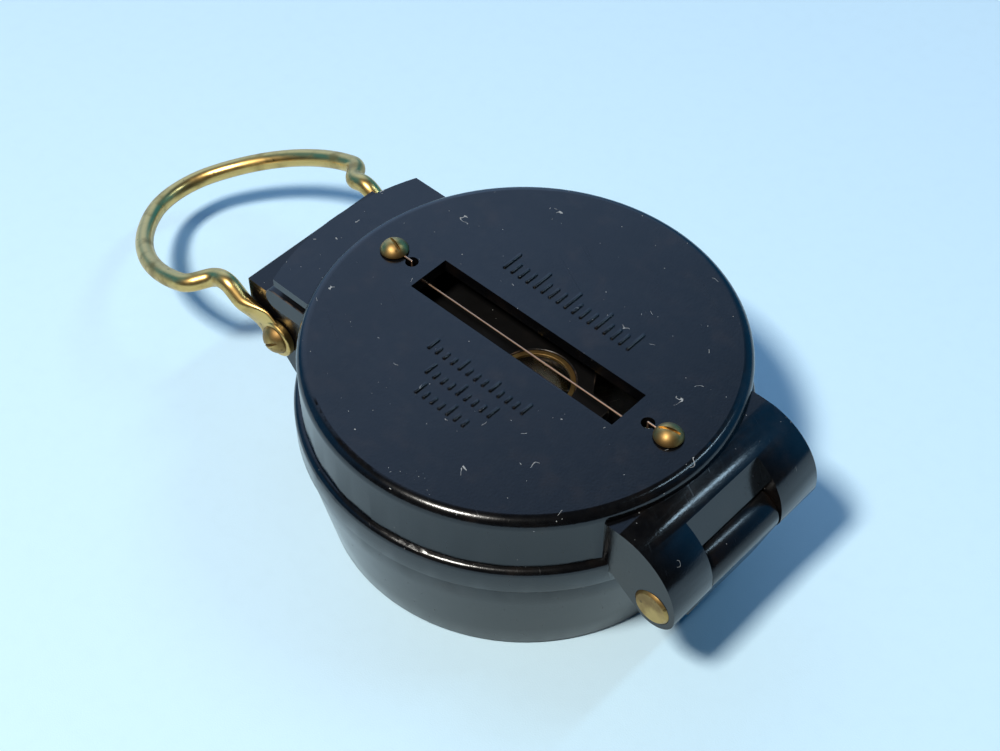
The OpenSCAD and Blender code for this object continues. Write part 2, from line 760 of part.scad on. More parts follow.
module filler_screw() color(BRASS)
    translate([filler_x, 0, capsule_z])
        rotate([180, 0, 0])
            round_head_screw(2.2, 0.9, filler_r, capsule_floor);

case_body();
lid_cover();
hinge_pin();
sight_wire();
sight_wire_screws();
thumb_ring();
ring_pivot_screws();
eyepiece_bracket();
eyepiece_lens();
lens_retaining_ring();
eyepiece_hinge_pin();
bezel_ring();
bezel_glass();
bezel_glass_ring();
bezel_index_line();
bezel_snap_ring();
bezel_click_spring();
capsule_bowl();
capsule_gasket();
capsule_glass();
capsule_clamp_ring();
lubber_line();
dial_card();
card_luminous_marks();
float_hub();
hub_ring();
jewel_bearing();
card_magnets();
pivot_post();
pivot_point();
expansion_diaphragm();
diaphragm_ring();
filler_screw();
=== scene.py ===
"""Looks of a folding sighting compass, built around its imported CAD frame.

Everything is in metres in the frame's own axes: +X points to the lid's hinge, +Z is up, and the
origin is on the dial's axis at the flat bottom of the case. The sizes of pieces are written in
millimetres and scaled by MM where they are used. The studio's are in the units that their
descriptions give.
"""

import json
import logging
import math
from collections.abc import Iterable, Sequence
from dataclasses import dataclass
from enum import Enum

import bpy
import numpy as np
from mathutils import Matrix, Vector


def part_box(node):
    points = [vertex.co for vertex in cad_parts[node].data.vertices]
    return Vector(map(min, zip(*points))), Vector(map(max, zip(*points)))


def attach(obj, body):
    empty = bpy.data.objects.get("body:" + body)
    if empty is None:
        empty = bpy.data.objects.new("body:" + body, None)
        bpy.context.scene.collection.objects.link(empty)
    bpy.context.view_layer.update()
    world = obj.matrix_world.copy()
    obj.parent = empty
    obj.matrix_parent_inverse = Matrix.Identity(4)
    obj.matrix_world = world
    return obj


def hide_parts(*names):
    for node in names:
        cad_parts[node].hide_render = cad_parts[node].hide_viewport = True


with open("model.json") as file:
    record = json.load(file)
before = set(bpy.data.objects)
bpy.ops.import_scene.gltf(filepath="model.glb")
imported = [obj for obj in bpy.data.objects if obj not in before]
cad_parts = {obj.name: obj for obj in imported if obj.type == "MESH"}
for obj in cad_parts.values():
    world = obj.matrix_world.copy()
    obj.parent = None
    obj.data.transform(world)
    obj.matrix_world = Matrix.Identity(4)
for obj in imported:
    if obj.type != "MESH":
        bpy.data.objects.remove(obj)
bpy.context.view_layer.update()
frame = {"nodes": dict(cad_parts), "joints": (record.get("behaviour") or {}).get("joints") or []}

MM = 0.001
LOG = logging.getLogger("compass")
Triple = tuple[float, float, float]
Colour = Triple


class Body(str, Enum):
    """The CAD bodies that pieces ride on."""

    CASE = "case"
    LID = "lid"
    EYEPIECE = "eyepiece"
    RING = "ring"
    BEZEL = "bezel"
    DIAL = "dial"


# ---------------------------------------------------------------------------------------------
# Shader nodes
# ---------------------------------------------------------------------------------------------


class Graph:
    """Short calls that build one shader node tree."""

    def __init__(self, tree: bpy.types.NodeTree) -> None:
        """Keeps the tree.

        Args:
            tree: The node tree that nodes are added to.
        """
        self.tree = tree

    def put(self, socket: bpy.types.NodeSocket, value: object) -> None:
        """Links a socket to another one, or sets its value.

        Args:
            socket: The input socket.
            value: An output socket, or a plain value.
        """
        if isinstance(value, bpy.types.NodeSocket):
            self.tree.links.new(value, socket)
        else:
            socket.default_value = value

    def add(
        self, kind: str, inputs: dict[str | int, object] | None = None, **props: object
    ) -> bpy.types.Node:
        """Adds a node.

        Args:
            kind: The node's type name.
            inputs: Input names or indices, with what each is linked or set to.
            **props: Settings of the node itself.

        Returns:
            The new node.
        """
        node = self.tree.nodes.new(kind)
        for name, value in props.items():
            setattr(node, name, value)
        for name, value in (inputs or {}).items():
            self.put(node.inputs[name], value)
        return node

    def math(
        self, operation: str, a: object, b: object = 0.0, clamp: bool = False
    ) -> bpy.types.NodeSocket:
        """Adds a math node and returns its result.

        Args:
            operation: Blender's name of the operation.
            a: First value or socket.
            b: Second value or socket.
            clamp: Whether the result is kept from 0 to 1.

        Returns:
            The result's socket.
        """
        return self.add("ShaderNodeMath", {0: a, 1: b}, operation=operation, use_clamp=clamp).outputs[0]

    def vector(self, operation: str, *values: object) -> bpy.types.NodeSocket:
        """Adds a vector math node.

        Args:
            operation: Blender's name of the operation.
            *values: Its vectors or sockets, in order.

        Returns:
            The result's socket: a value for a dot product, and a vector otherwise.
        """
        node = self.add("ShaderNodeVectorMath", dict(enumerate(values)), operation=operation)
        return node.outputs["Value" if operation == "DOT_PRODUCT" else "Vector"]

    def height_of(self, vector: object) -> bpy.types.NodeSocket:
        """Adds a node that gives a vector's Z part.

        Args:
            vector: The vector's socket.

        Returns:
            The Z part's socket.
        """
        return self.add("ShaderNodeSeparateXYZ", {0: vector}).outputs[2]

    def bump(self, height: object, depth: float, **others: object) -> bpy.types.NodeSocket:
        """Adds a bump node.

        Args:
            height: A mask that stands for the height.
            depth: Height of the bumps where the mask is 1, in millimetres.
            **others: The node's Strength, and the Normal that it bends.

        Returns:
            The bent normal's socket.
        """
        return self.add("ShaderNodeBump", {"Height": height, "Distance": depth * MM, **others}).outputs[0]

    def step(self, value: object, low: float, high: float) -> bpy.types.NodeSocket:
        """Maps a value smoothly from 0 at low to 1 at high.

        Args:
            value: The value or socket.
            low: Where the result is 0.
            high: Where the result is 1.

        Returns:
            The result's socket.
        """
        inputs = {"Value": value, "From Min": low, "From Max": high}
        return self.add("ShaderNodeMapRange", inputs, interpolation_type="SMOOTHSTEP").outputs["Result"]

    def scale(self, value: object, low: float, high: float) -> bpy.types.NodeSocket:
        """Maps a mask from 0..1 to low..high.

        Args:
            value: The mask.
            low: The result where the mask is 0.
            high: The result where the mask is 1.

        Returns:
            The result's socket.
        """
        inputs = {"Value": value, "To Min": low, "To Max": high}
        return self.add("ShaderNodeMapRange", inputs).outputs["Result"]

    def mix(self, factor: object, a: object, b: object) -> bpy.types.NodeSocket:
        """Mixes two colours.

        Args:
            factor: 0 gives a, and 1 gives b.
            a: Colour or socket.
            b: Colour or socket.

        Returns:
            The mixed colour's socket.
        """
        node = self.tree.nodes.new("ShaderNodeMix")
        node.data_type = "RGBA"
        for index, value in ((0, factor), (6, a), (7, b)):
            full = (*value, 1.0) if isinstance(value, tuple) and len(value) == 3 else value
            self.put(node.inputs[index], full)
        return node.outputs[2]

    def noise(self, vector: object, scale: float, detail: float = 3.0) -> bpy.types.NodeSocket:
        """Adds a noise texture.

        Args:
            vector: Coordinates, in metres.
            scale: Waves in a metre.
            detail: Octaves.

        Returns:
            The noise value's socket.
        """
        inputs = {"Vector": vector, "Scale": scale, "Detail": detail}
        return self.add("ShaderNodeTexNoise", inputs).outputs[0]


class GroupMaker:
    """A shader effect that several materials share, as a node group.

    Attributes:
        name: The group's name.
        inputs: Its inputs' names, with the kind and the default value of each.
        outputs: Its outputs' names, with the kind of each.
    """

    name: str = "effect"
    inputs: dict[str, tuple[str, object]] = {}
    outputs: dict[str, str] = {}

    def tree(self) -> bpy.types.NodeTree:
        """Makes the group the first time, and finds it after that.

        Returns:
            The group's node tree.
        """
        found = bpy.data.node_groups.get(self.name)
        if found:
            return found
        tree = bpy.data.node_groups.new(self.name, "ShaderNodeTree")
        for name, (kind, default) in self.inputs.items():
            socket = tree.interface.new_socket(name, in_out="INPUT", socket_type=kind)
            if default is not None:
                socket.default_value = default
        for name, kind in self.outputs.items():
            tree.interface.new_socket(name, in_out="OUTPUT", socket_type=kind)
        self.fill(Graph(tree), tree.nodes.new("NodeGroupInput"), tree.nodes.new("NodeGroupOutput"))
        return tree

    def fill(self, graph: Graph, source: bpy.types.Node, sink: bpy.types.Node) -> None:
        """Adds the group's nodes.

        Args:
            graph: The group's tree.
            source: Its input node.
            sink: Its output node.
        """
        raise NotImplementedError

    def use(self, graph: Graph, inputs: dict[str, object]) -> bpy.types.Node:
        """Adds this group to a material.

        Args:
            graph: The material's tree.
            inputs: Input names, with what each is linked or set to.

        Returns:
            The group node.
        """
        node = graph.add("ShaderNodeGroup", node_tree=self.tree())
        for name, value in inputs.items():
            graph.put(node.inputs[name], value)
        return node


class Speckle(GroupMaker):
    """Scattered specks: a cell noise whose cells each hold a speck, of which a share is kept.

    Attributes:
        wobble_scale: Waves in a metre of the noise that bends the cells.
        wobble: How far it moves them, in metres.
        smallest: Size of the smallest specks as a share of the largest ones'.
    """

    name = "speckle"
    inputs = {
        "Vector": ("NodeSocketVector", None),
        "Scale": ("NodeSocketFloat", 900.0),
        "Share": ("NodeSocketFloat", 0.1),
        "Size": ("NodeSocketFloat", 0.1),
    }
    outputs = {"Mask": "NodeSocketFloat"}
    wobble_scale = 2600.0
    wobble = 0.22 * MM
    smallest = 0.35

    def fill(self, graph: Graph, source: bpy.types.Node, sink: bpy.types.Node) -> None:
        """Adds the group's nodes. A finer noise first bends the cells out of true.

        Args:
            graph: The group's tree.
            source: Its input node.
            sink: Its output node.
        """
        place = source.outputs["Vector"]
        noise = graph.add("ShaderNodeTexNoise", {"Vector": place, "Scale": self.wobble_scale})
        bent = graph.vector("MULTIPLY_ADD", noise.outputs["Color"], (self.wobble,) * 3, place)
        cells = graph.add("ShaderNodeTexVoronoi", {"Vector": bent, "Scale": source.outputs["Scale"]})
        parts = graph.add("ShaderNodeSeparateColor", {0: cells.outputs["Color"]})
        kept = graph.math("LESS_THAN", parts.outputs[0], source.outputs["Share"])
        shrunk = graph.scale(parts.outputs[1], self.smallest, 1.0)
        size = graph.math("MULTIPLY", source.outputs["Size"], shrunk)
        inside = graph.math("LESS_THAN", cells.outputs["Distance"], size)
        graph.put(sink.inputs["Mask"], graph.math("MULTIPLY", kept, inside))


SETTLED_INPUTS = {
    "Vector": ("NodeSocketVector", None),
    "Normal": ("NodeSocketVector", None),
    "Amount": ("NodeSocketFloat", 1.0),
}


class Dust(GroupMaker):
    """Dust on a moulding: fine and coarse specks, thicker on faces that look up.

    Attributes:
        fine: The fine specks' inputs, with their share where the dust is thickest.
        coarse: The same for the coarse ones.
        on_walls: Dust on faces that don't look up, as a share of the thickest.
        between_patches: Dust between the thick patches, as such a share.
    """

    name = "dust"
    inputs = SETTLED_INPUTS
    outputs = {"Mask": "NodeSocketFloat", "Film": "NodeSocketFloat"}
    fine = {"Scale": 1500.0, "Share": 0.20, "Size": 0.10}
    coarse = {"Scale": 520.0, "Share": 0.05, "Size": 0.06}
    on_walls = 0.3
    between_patches = 0.45

    def fill(self, graph: Graph, source: bpy.types.Node, sink: bpy.types.Node) -> None:
        """Adds the group's nodes.

        Args:
            graph: The group's tree.
            source: Its input node.
            sink: Its output node.
        """
        place = source.outputs["Vector"]
        up = graph.height_of(source.outputs["Normal"])
        facing = graph.scale(graph.step(up, low=-0.1, high=0.75), self.on_walls, 1.0)
        clouds = graph.step(graph.noise(place, scale=130.0), low=0.35, high=0.7)
        patches = graph.scale(clouds, self.between_patches, 1.0)
        share = graph.math("MULTIPLY", graph.math("MULTIPLY", facing, patches), source.outputs["Amount"])
        masks: list[bpy.types.NodeSocket] = []
        for specks in (self.fine, self.coarse):
            kept = graph.math("MULTIPLY", share, specks["Share"])
            node = Speckle().use(graph, {**specks, "Vector": place, "Share": kept})
            masks.append(node.outputs["Mask"])
        graph.put(sink.inputs["Mask"], graph.math("ADD", *masks, clamp=True))
        haze = graph.step(graph.noise(place, scale=900.0, detail=6.0), low=0.3, high=0.8)
        graph.put(sink.inputs["Film"], graph.math("MULTIPLY", share, haze))


class Lint(GroupMaker):
    """Curly fibres: thin contour lines of a soft noise, kept in small patches that look up.

    Attributes:
        line: Distance from the noise's middle value within which a line is drawn.
        patch_from: Value past which a coarser noise makes a patch, where nothing has settled.
        patch_by_amount: How much an amount of 1 lowers that value.
        least_up: Z part of the normal past which a face looks up.
    """

    name = "lint"
    inputs = SETTLED_INPUTS
    outputs = {"Mask": "NodeSocketFloat"}
    line = 0.007
    patch_from = 0.80
    patch_by_amount = 0.095
    least_up = 0.5

    def fill(self, graph: Graph, source: bpy.types.Node, sink: bpy.types.Node) -> None:
        """Adds the group's nodes.

        Args:
            graph: The group's tree.
            source: Its input node.
            sink: Its output node.
        """
        place = source.outputs["Vector"]
        up = graph.height_of(source.outputs["Normal"])
        middle = graph.math("SUBTRACT", graph.noise(place, scale=520.0, detail=1.0), 0.5)
        line = graph.math("LESS_THAN", graph.math("ABSOLUTE", middle), self.line)
        lowered = graph.math("MULTIPLY", source.outputs["Amount"], self.patch_by_amount)
        bound = graph.math("SUBTRACT", self.patch_from, lowered)
        patch = graph.math("GREATER_THAN", graph.noise(place, scale=333.0, detail=1.0), bound)
        kept = graph.math("MULTIPLY", patch, graph.math("GREATER_THAN", up, self.least_up))
        graph.put(sink.inputs["Mask"], graph.math("MULTIPLY", line, kept))


class Handling(GroupMaker):
    """Marks of handling: a mask of cloudy smears, and one of fine scratches in two directions.

    Attributes:
        strokes: Each direction's turn about Z in radians, and its waves in a metre along X, Y, Z.
    """

    name = "handling"
    inputs = {"Vector": ("NodeSocketVector", None)}
    outputs = {"Smear": "NodeSocketFloat", "Scratch": "NodeSocketFloat"}
    strokes = ((0.5, (60.0, 2600.0, 900.0)), (-1.1, (2300.0, 50.0, 1100.0)))

    def fill(self, graph: Graph, source: bpy.types.Node, sink: bpy.types.Node) -> None:
        """Adds the group's nodes.

        Args:
            graph: The group's tree.
            source: Its input node.
            sink: Its output node.
        """
        place = source.outputs["Vector"]
        clouds = graph.noise(place, scale=95.0, detail=5.0)
        graph.put(sink.inputs["Smear"], graph.step(clouds, low=0.3, high=0.75))
        lines: list[bpy.types.NodeSocket] = []
        for turn, waves in self.strokes:
            inputs = {"Vector": place, "Angle": turn}
            spun = graph.add("ShaderNodeVectorRotate", inputs, rotation_type="Z_AXIS").outputs[0]
            drawn = graph.noise(graph.vector("MULTIPLY", spun, waves), scale=1.0, detail=2.0)
            lines.append(graph.step(drawn, low=0.70, high=0.76))
        graph.put(sink.inputs["Scratch"], graph.math("MAXIMUM", *lines))


# ---------------------------------------------------------------------------------------------
# Finishes
# ---------------------------------------------------------------------------------------------

RUBBED_FACE: Colour = (0.050, 0.030, 0.018)
RUBBED_EDGE: Colour = (0.085, 0.055, 0.035)
PALE_NICK: Colour = (0.30, 0.27, 0.22)
DUST_SPECK: Colour = (0.30, 0.30, 0.29)
DUST_ON_GLASS: Colour = (0.5, 0.5, 0.48)
DUST_FILM: Colour = (0.42, 0.41, 0.38)


@dataclass(frozen=True)
class Finish:
    """A named procedural material.

    Attributes:
        name: The material's name.
        colour: Its main colour, linear.
        roughness: Its main roughness.
    """

    name: str
    colour: Colour
    roughness: float

    def material(self) -> bpy.types.Material:
        """Makes the material the first time, and finds it after that.

        Returns:
            The material.
        """
        found = bpy.data.materials.get(self.name)
        if found:
            return found
        made = bpy.data.materials.new(self.name)
        made.use_nodes = True
        made.node_tree.nodes.clear()
        graph = Graph(made.node_tree)
        shader = graph.add("ShaderNodeBsdfPrincipled")
        graph.add("ShaderNodeOutputMaterial", {"Surface": shader.outputs[0]})
        graph.put(shader.inputs["Base Color"], (*self.colour, 1.0))
        graph.put(shader.inputs["Roughness"], self.roughness)
        self.dress(graph, shader, graph.add("ShaderNodeTexCoord"))
        return made

    def dress(self, graph: Graph, shader: bpy.types.Node, coords: bpy.types.Node) -> None:
        """Adds the finish's detail.

        Args:
            graph: The material's tree.
            shader: Its Principled shader.
            coords: Its texture coordinates.
        """
        raise NotImplementedError


@dataclass(frozen=True)
class Moulding(Finish):
    """Glossy moulded plastic with dust, smears and faint ripples.

    Attributes:
        dust: How dusty it is, 1 being the lid's top.
        ripple: Height of the moulded surface's ripples, in millimetres.
        frost: Height of its fine grain, in millimetres.
        worn: Share of the surface that is rubbed to a brown sheen.
        ior: Index of refraction.
        grain: Height of the dust's grains, in millimetres.
        film: How much the film of dust covers, at its thickest.
        smeared: Roughness that a smear adds.
        scratched: Roughness that a scratch adds.
        specked: Roughness that a speck adds.
    """

    dust: float = 1.0
    ripple: float = 0.006
    frost: float = 0.009
    worn: float = 0.12
    ior: float = 1.5
    grain: float = 0.03
    film: float = 0.008
    smeared: float = 0.10
    scratched: float = 0.12
    specked: float = 0.6

    def dress(self, graph: Graph, shader: bpy.types.Node, coords: bpy.types.Node) -> None:
        """Adds dust, smears, ripples and rubbed patches.

        Args:
            graph: The material's tree.
            shader: Its Principled shader.
            coords: Its texture coordinates.
        """
        place = coords.outputs["Object"]
        settled = {"Vector": place, "Normal": coords.outputs["Normal"], "Amount": self.dust}
        dust = Dust().use(graph, settled)
        specks = graph.math("MAXIMUM", dust.outputs["Mask"], Lint().use(graph, settled).outputs["Mask"])
        marks = Handling().use(graph, {"Vector": place})
        clouds = graph.step(graph.noise(place, scale=260.0, detail=5.0), low=0.5, high=0.8)
        base = graph.mix(graph.math("MULTIPLY", clouds, self.worn), self.colour, RUBBED_FACE)
        film = graph.math("MULTIPLY", dust.outputs["Film"], self.film)
        hazed = graph.mix(film, base, DUST_FILM)
        graph.put(shader.inputs["Base Color"], graph.mix(specks, hazed, DUST_SPECK))
        rough = graph.math("ADD", self.roughness, graph.scale(marks.outputs["Smear"], 0.0, self.smeared))
        rough = graph.math("ADD", rough, graph.math("MULTIPLY", marks.outputs["Scratch"], self.scratched))
        rough = graph.math("ADD", rough, graph.math("MULTIPLY", specks, self.specked), clamp=True)
        graph.put(shader.inputs["Roughness"], rough)
        shader.inputs["IOR"].default_value = self.ior
        waves = graph.bump(graph.noise(place, scale=420.0, detail=5.0), self.ripple, Strength=0.5)
        frost = graph.bump(graph.noise(place, scale=3200.0, detail=4.0), self.frost, Normal=waves)
        grains = graph.bump(dust.outputs["Mask"], self.grain, Normal=frost)
        graph.put(shader.inputs["Normal"], grains)


@dataclass(frozen=True)
class WornEdge(Finish):
    """A moulding's rubbed edge: browner and duller than its faces, with small pale nicks.

    Attributes:
        nicks: Share of the edge with pale nicks.
        rubbed: Roughness that the rubbing adds.
        grain: Height of the rubbed grain, in millimetres.
    """

    nicks: float = 0.2
    rubbed: float = 0.18
    grain: float = 0.012

    def dress(self, graph: Graph, shader: bpy.types.Node, coords: bpy.types.Node) -> None:
        """Adds the rubbed brown and the nicks.

        Args:
            graph: The material's tree.
            shader: Its Principled shader.
            coords: Its texture coordinates.
        """
        place = coords.outputs["Object"]
        rubbed = graph.step(graph.noise(place, scale=700.0, detail=6.0), low=0.45, high=0.7)
        base = graph.mix(rubbed, self.colour, RUBBED_EDGE)
        chipped = {"Vector": place, "Scale": 1100.0, "Share": self.nicks, "Size": 0.22}
        nicks = Speckle().use(graph, chipped).outputs["Mask"]
        graph.put(shader.inputs["Base Color"], graph.mix(nicks, base, PALE_NICK))
        rough = graph.scale(rubbed, self.roughness, self.roughness + self.rubbed)
        graph.put(shader.inputs["Roughness"], rough)
        grain = graph.noise(place, scale=2200.0, detail=4.0)
        graph.put(shader.inputs["Normal"], graph.bump(grain, self.grain))


@dataclass(frozen=True)
class AgedMetal(Finish):
    """Satin metal with patina in patches and fine brushed scratches.

    Attributes:
        patina: Colour of the tarnish.
        aged: Share of the surface under tarnish.
        brush: Scales of the scratches along X, Y and Z, in waves per metre.
        depth: Height of the scratches, in millimetres.
        dulled: Roughness that the tarnish adds.
        tarnish: How much the tarnish covers where it is full.
        spotted: How much a dark spot covers.
        spot_tone: Brightness of a spot as a share of the tarnish's.
    """

    patina: Colour = (0.23, 0.14, 0.045)
    aged: float = 0.6
    brush: Triple = (500.0, 2600.0, 500.0)
    depth: float = 0.008
    dulled: float = 0.16
    tarnish: float = 0.75
    spotted: float = 0.55
    spot_tone: float = 0.4

    def dress(self, graph: Graph, shader: bpy.types.Node, coords: bpy.types.Node) -> None:
        """Adds patina, grime and brushed scratches.

        Args:
            graph: The material's tree.
            shader: Its Principled shader.
            coords: Its texture coordinates.
        """
        place = coords.outputs["Object"]
        clouds = graph.noise(place, scale=330.0, detail=6.0)
        patches = graph.step(clouds, low=0.72 - self.aged * 0.5, high=0.95 - self.aged * 0.4)
        spotty = {"Vector": place, "Scale": 900.0, "Share": 0.3, "Size": 0.22}
        spots = Speckle().use(graph, spotty).outputs["Mask"]
        tone = graph.mix(graph.math("MULTIPLY", patches, self.tarnish), self.colour, self.patina)
        dark = tuple(part * self.spot_tone for part in self.patina)
        tone = graph.mix(graph.math("MULTIPLY", spots, self.spotted), tone, dark)
        graph.put(shader.inputs["Base Color"], tone)
        shader.inputs["Metallic"].default_value = 1.0
        lines = graph.noise(graph.vector("MULTIPLY", place, self.brush), scale=1.0, detail=4.0)
        rough = graph.math("ADD", self.roughness, graph.scale(patches, 0.0, self.dulled))
        brushed = graph.scale(lines, low=-0.05, high=0.08)
        graph.put(shader.inputs["Roughness"], graph.math("ADD", rough, brushed))
        graph.put(shader.inputs["Normal"], graph.bump(lines, self.depth, Strength=0.6))


@dataclass(frozen=True)
class Clear(Finish):
    """Clear glass or plastic with a thin haze of dust.

    Attributes:
        ior: Index of refraction.
        cover: How much of the surface refracts; the rest lets light straight through.
        speck_cover: The same where a speck lies.
        smeared: Roughness that a smear adds.
        specked: Roughness that a speck adds.
    """

    ior: float = 1.5
    cover: float = 0.45
    speck_cover: float = 0.9
    smeared: float = 0.012
    specked: float = 0.5

    def dress(self, graph: Graph, shader: bpy.types.Node, coords: bpy.types.Node) -> None:
        """Adds smears and specks.

        Args:
            graph: The material's tree.
            shader: Its Principled shader.
            coords: Its texture coordinates.
        """
        place = coords.outputs["Object"]
        marks = Handling().use(graph, {"Vector": place})
        sparse = {"Vector": place, "Scale": 1300.0, "Share": 0.06, "Size": 0.1}
        specks = Speckle().use(graph, sparse).outputs["Mask"]
        shader.inputs["Transmission Weight"].default_value = 1.0
        shader.inputs["IOR"].default_value = self.ior
        smear = graph.scale(marks.outputs["Smear"], self.roughness, self.roughness + self.smeared)
        rough = graph.math("ADD", smear, graph.math("MULTIPLY", specks, self.specked))
        graph.put(shader.inputs["Roughness"], rough)
        graph.put(shader.inputs["Base Color"], graph.mix(specks, self.colour, DUST_ON_GLASS))
        graph.put(shader.inputs["Alpha"], graph.scale(specks, self.cover, self.speck_cover))


@dataclass(frozen=True)
class Paint(Finish):
    """Matt paint or card with a soft grain and faint yellowed patches.

    Attributes:
        shade: Colour of the patches.
        grain: Height of the grain, in millimetres.
        uneven: How far the roughness goes up and down with the grain.
    """

    shade: Colour = (0.5, 0.5, 0.4)
    grain: float = 0.01
    uneven: float = 0.1

    def dress(self, graph: Graph, shader: bpy.types.Node, coords: bpy.types.Node) -> None:
        """Adds the patches and the grain.

        Args:
            graph: The material's tree.
            shader: Its Principled shader.
            coords: Its texture coordinates.
        """
        place = coords.outputs["Object"]
        patches = graph.step(graph.noise(place, scale=420.0, detail=5.0), low=0.4, high=0.8)
        graph.put(shader.inputs["Base Color"], graph.mix(patches, self.colour, self.shade))
        fine = graph.noise(place, scale=5200.0, detail=3.0)
        rough = graph.scale(fine, self.roughness - self.uneven, self.roughness + self.uneven)
        graph.put(shader.inputs["Roughness"], rough)
        graph.put(shader.inputs["Normal"], graph.bump(fine, self.grain))


BLACK = Moulding("black_moulding", (0.0022, 0.0022, 0.0027), 0.13)
BLACK_LESS_DUST = Moulding("black_moulding_case", BLACK.colour, 0.15, dust=0.5, ior=1.42)
BLACK_SOFT = Moulding("black_moulding_inner", (0.0025, 0.0023, 0.0023), 0.32, dust=0.4, worn=0.05)
EDGE = WornEdge("black_moulding_edge", (0.010, 0.009, 0.009), 0.22)
BRASS = AgedMetal("aged_brass", (0.70, 0.46, 0.16), 0.29, patina=(0.27, 0.165, 0.05), aged=0.55)
BRASS_DULL = AgedMetal("dull_brass", (0.54, 0.35, 0.12), 0.34, aged=0.8, patina=(0.16, 0.085, 0.032))
BRASS_BRIGHT = AgedMetal("bright_brass", (0.80, 0.58, 0.27), 0.22, aged=0.25)
COPPER = AgedMetal("copper_wire", (0.78, 0.38, 0.18), 0.3, patina=(0.25, 0.13, 0.07), aged=0.4)
STEEL = AgedMetal("plain_steel", (0.52, 0.52, 0.54), 0.28, patina=(0.2, 0.18, 0.16), aged=0.3)
GLASS = Clear("window_glass", (0.96, 0.985, 0.98), 0.003)
LENS = Clear("lens_glass", (0.97, 0.985, 0.98), 0.01, cover=0.6)
FLOAT = Clear("float_plastic", (0.80, 0.82, 0.80), 0.08, ior=1.49, cover=0.5)
LUME = Paint("luminous_paint", (0.62, 0.70, 0.42), 0.7, shade=(0.50, 0.56, 0.33))
PRINT = Paint("dial_print", (0.72, 0.72, 0.66), 0.6, shade=(0.60, 0.60, 0.50))
CARD = Paint("dial_card", (0.005, 0.005, 0.005), 0.62, shade=(0.008, 0.0075, 0.007))
RUBBER = Paint("black_rubber", (0.018, 0.018, 0.018), 0.75, shade=(0.03, 0.03, 0.03))
JEWEL = Moulding("red_jewel", (0.35, 0.02, 0.04), 0.08, dust=0.0, worn=0.0)


# ---------------------------------------------------------------------------------------------
# Mesh building
# ---------------------------------------------------------------------------------------------


@dataclass
class Surface:
    """Points and faces of one mesh, which more can be added to.

    Attributes:
        points: Vertices, in metres, one row each.
        faces: Lists of vertex numbers, as arrays whose rows are faces.
    """

    points: np.ndarray
    faces: list[np.ndarray]

    @staticmethod
    def empty() -> "Surface":
        """Makes a surface with nothing in it.

        Returns:
            The surface.
        """
        return Surface(np.zeros((0, 3)), [])

    @staticmethod
    def grid(points: np.ndarray, around: bool = False, along: bool = False) -> "Surface":
        """Joins a grid of points with four-sided faces.

        Vertex (i, j) meets (i + 1, j), (i + 1, j + 1) and (i, j + 1).

        Args:
            points: Array of shape rows, columns, 3.
            around: Whether the last column joins the first.
            along: Whether the last row joins the first.

        Returns:
            The surface.
        """
        rows, columns = points.shape[:2]
        spans = (rows if along else rows - 1, columns if around else columns - 1)
        i, j = (part.ravel() for part in np.indices(spans))
        nexts = ((i + 1) % rows, (j + 1) % columns)
        corners = [(i, j), (nexts[0], j), (nexts[0], nexts[1]), (i, nexts[1])]
        faces = np.stack([a * columns + b for a, b in corners], axis=1)
        return Surface(points.reshape(-1, 3), [faces])

    def capped(self, columns: int) -> "Surface":
        """Closes both ends of a tube, whose first and last rows are rings, with one face each.

        Args:
            columns: Points in a ring.

        Returns:
            This surface.
        """
        last = len(self.points) - columns
        self.faces.append(np.arange(columns)[None, :])
        self.faces.append(last + np.arange(columns)[::-1][None, :])
        return self

    def add(self, other: "Surface") -> "Surface":
        """Adds another surface to this one.

        Args:
            other: The surface to add.

        Returns:
            This surface.
        """
        start = len(self.points)
        self.points = np.vstack([self.points, other.points])
        self.faces += [block + start for block in other.faces]
        return self

    def moved(self, turn: np.ndarray, shift: Sequence[float]) -> "Surface":
        """Turns, then shifts, a copy of this surface.

        Args:
            turn: A 3 by 3 matrix.
            shift: What is added after the turn, in metres.

        Returns:
            The copy.
        """
        points = self.points @ turn.T + np.asarray(shift)
        blocks = self.faces
        if np.linalg.det(turn) < 0:
            blocks = [block[:, ::-1] for block in blocks]
        return Surface(points, list(blocks))

    def build(self, name: str, finish: Finish, smooth: float = 35.0) -> bpy.types.Object:
        """Makes the Blender object. Its faces already point outward.

        Args:
            name: The object's name.
            finish: Its material.
            smooth: Faces that meet at less than this angle, in degrees, are shaded smooth.

        Returns:
            The object.
        """
        mesh = bpy.data.meshes.new(name)
        faces = [row for block in self.faces for row in block.tolist()]
        mesh.from_pydata(self.points.tolist(), [], faces)
        mesh.validate()
        mesh.set_sharp_from_angle(angle=math.radians(smooth))
        mesh.polygons.foreach_set("use_smooth", np.full(len(mesh.polygons), True))
        mesh.materials.append(finish.material())
        made = bpy.data.objects.new(name, mesh)
        bpy.context.scene.collection.objects.link(made)
        return made


def spin(profile: Iterable[tuple[float, float]], steps: int = 96) -> Surface:
    """Turns a closed outline about the Z axis.

    A point (r, z) of the outline goes to (r cos t, r sin t, z) for t round the full turn.

    Args:
        profile: Closed outline as (radius, height) in millimetres, counter-clockwise.
        steps: Points in a turn.

    Returns:
        The surface.
    """
    line = np.array(list(profile)) * MM
    t = np.linspace(0.0, 2 * np.pi, steps, endpoint=False)
    ring = np.stack([np.cos(t), np.sin(t)], axis=1)
    points = np.empty((len(line), steps, 3))
    points[..., 0] = line[:, :1] * ring[:, 0]
    points[..., 1] = line[:, :1] * ring[:, 1]
    points[..., 2] = line[:, 1:]
    return Surface.grid(points[::-1], around=True, along=True)


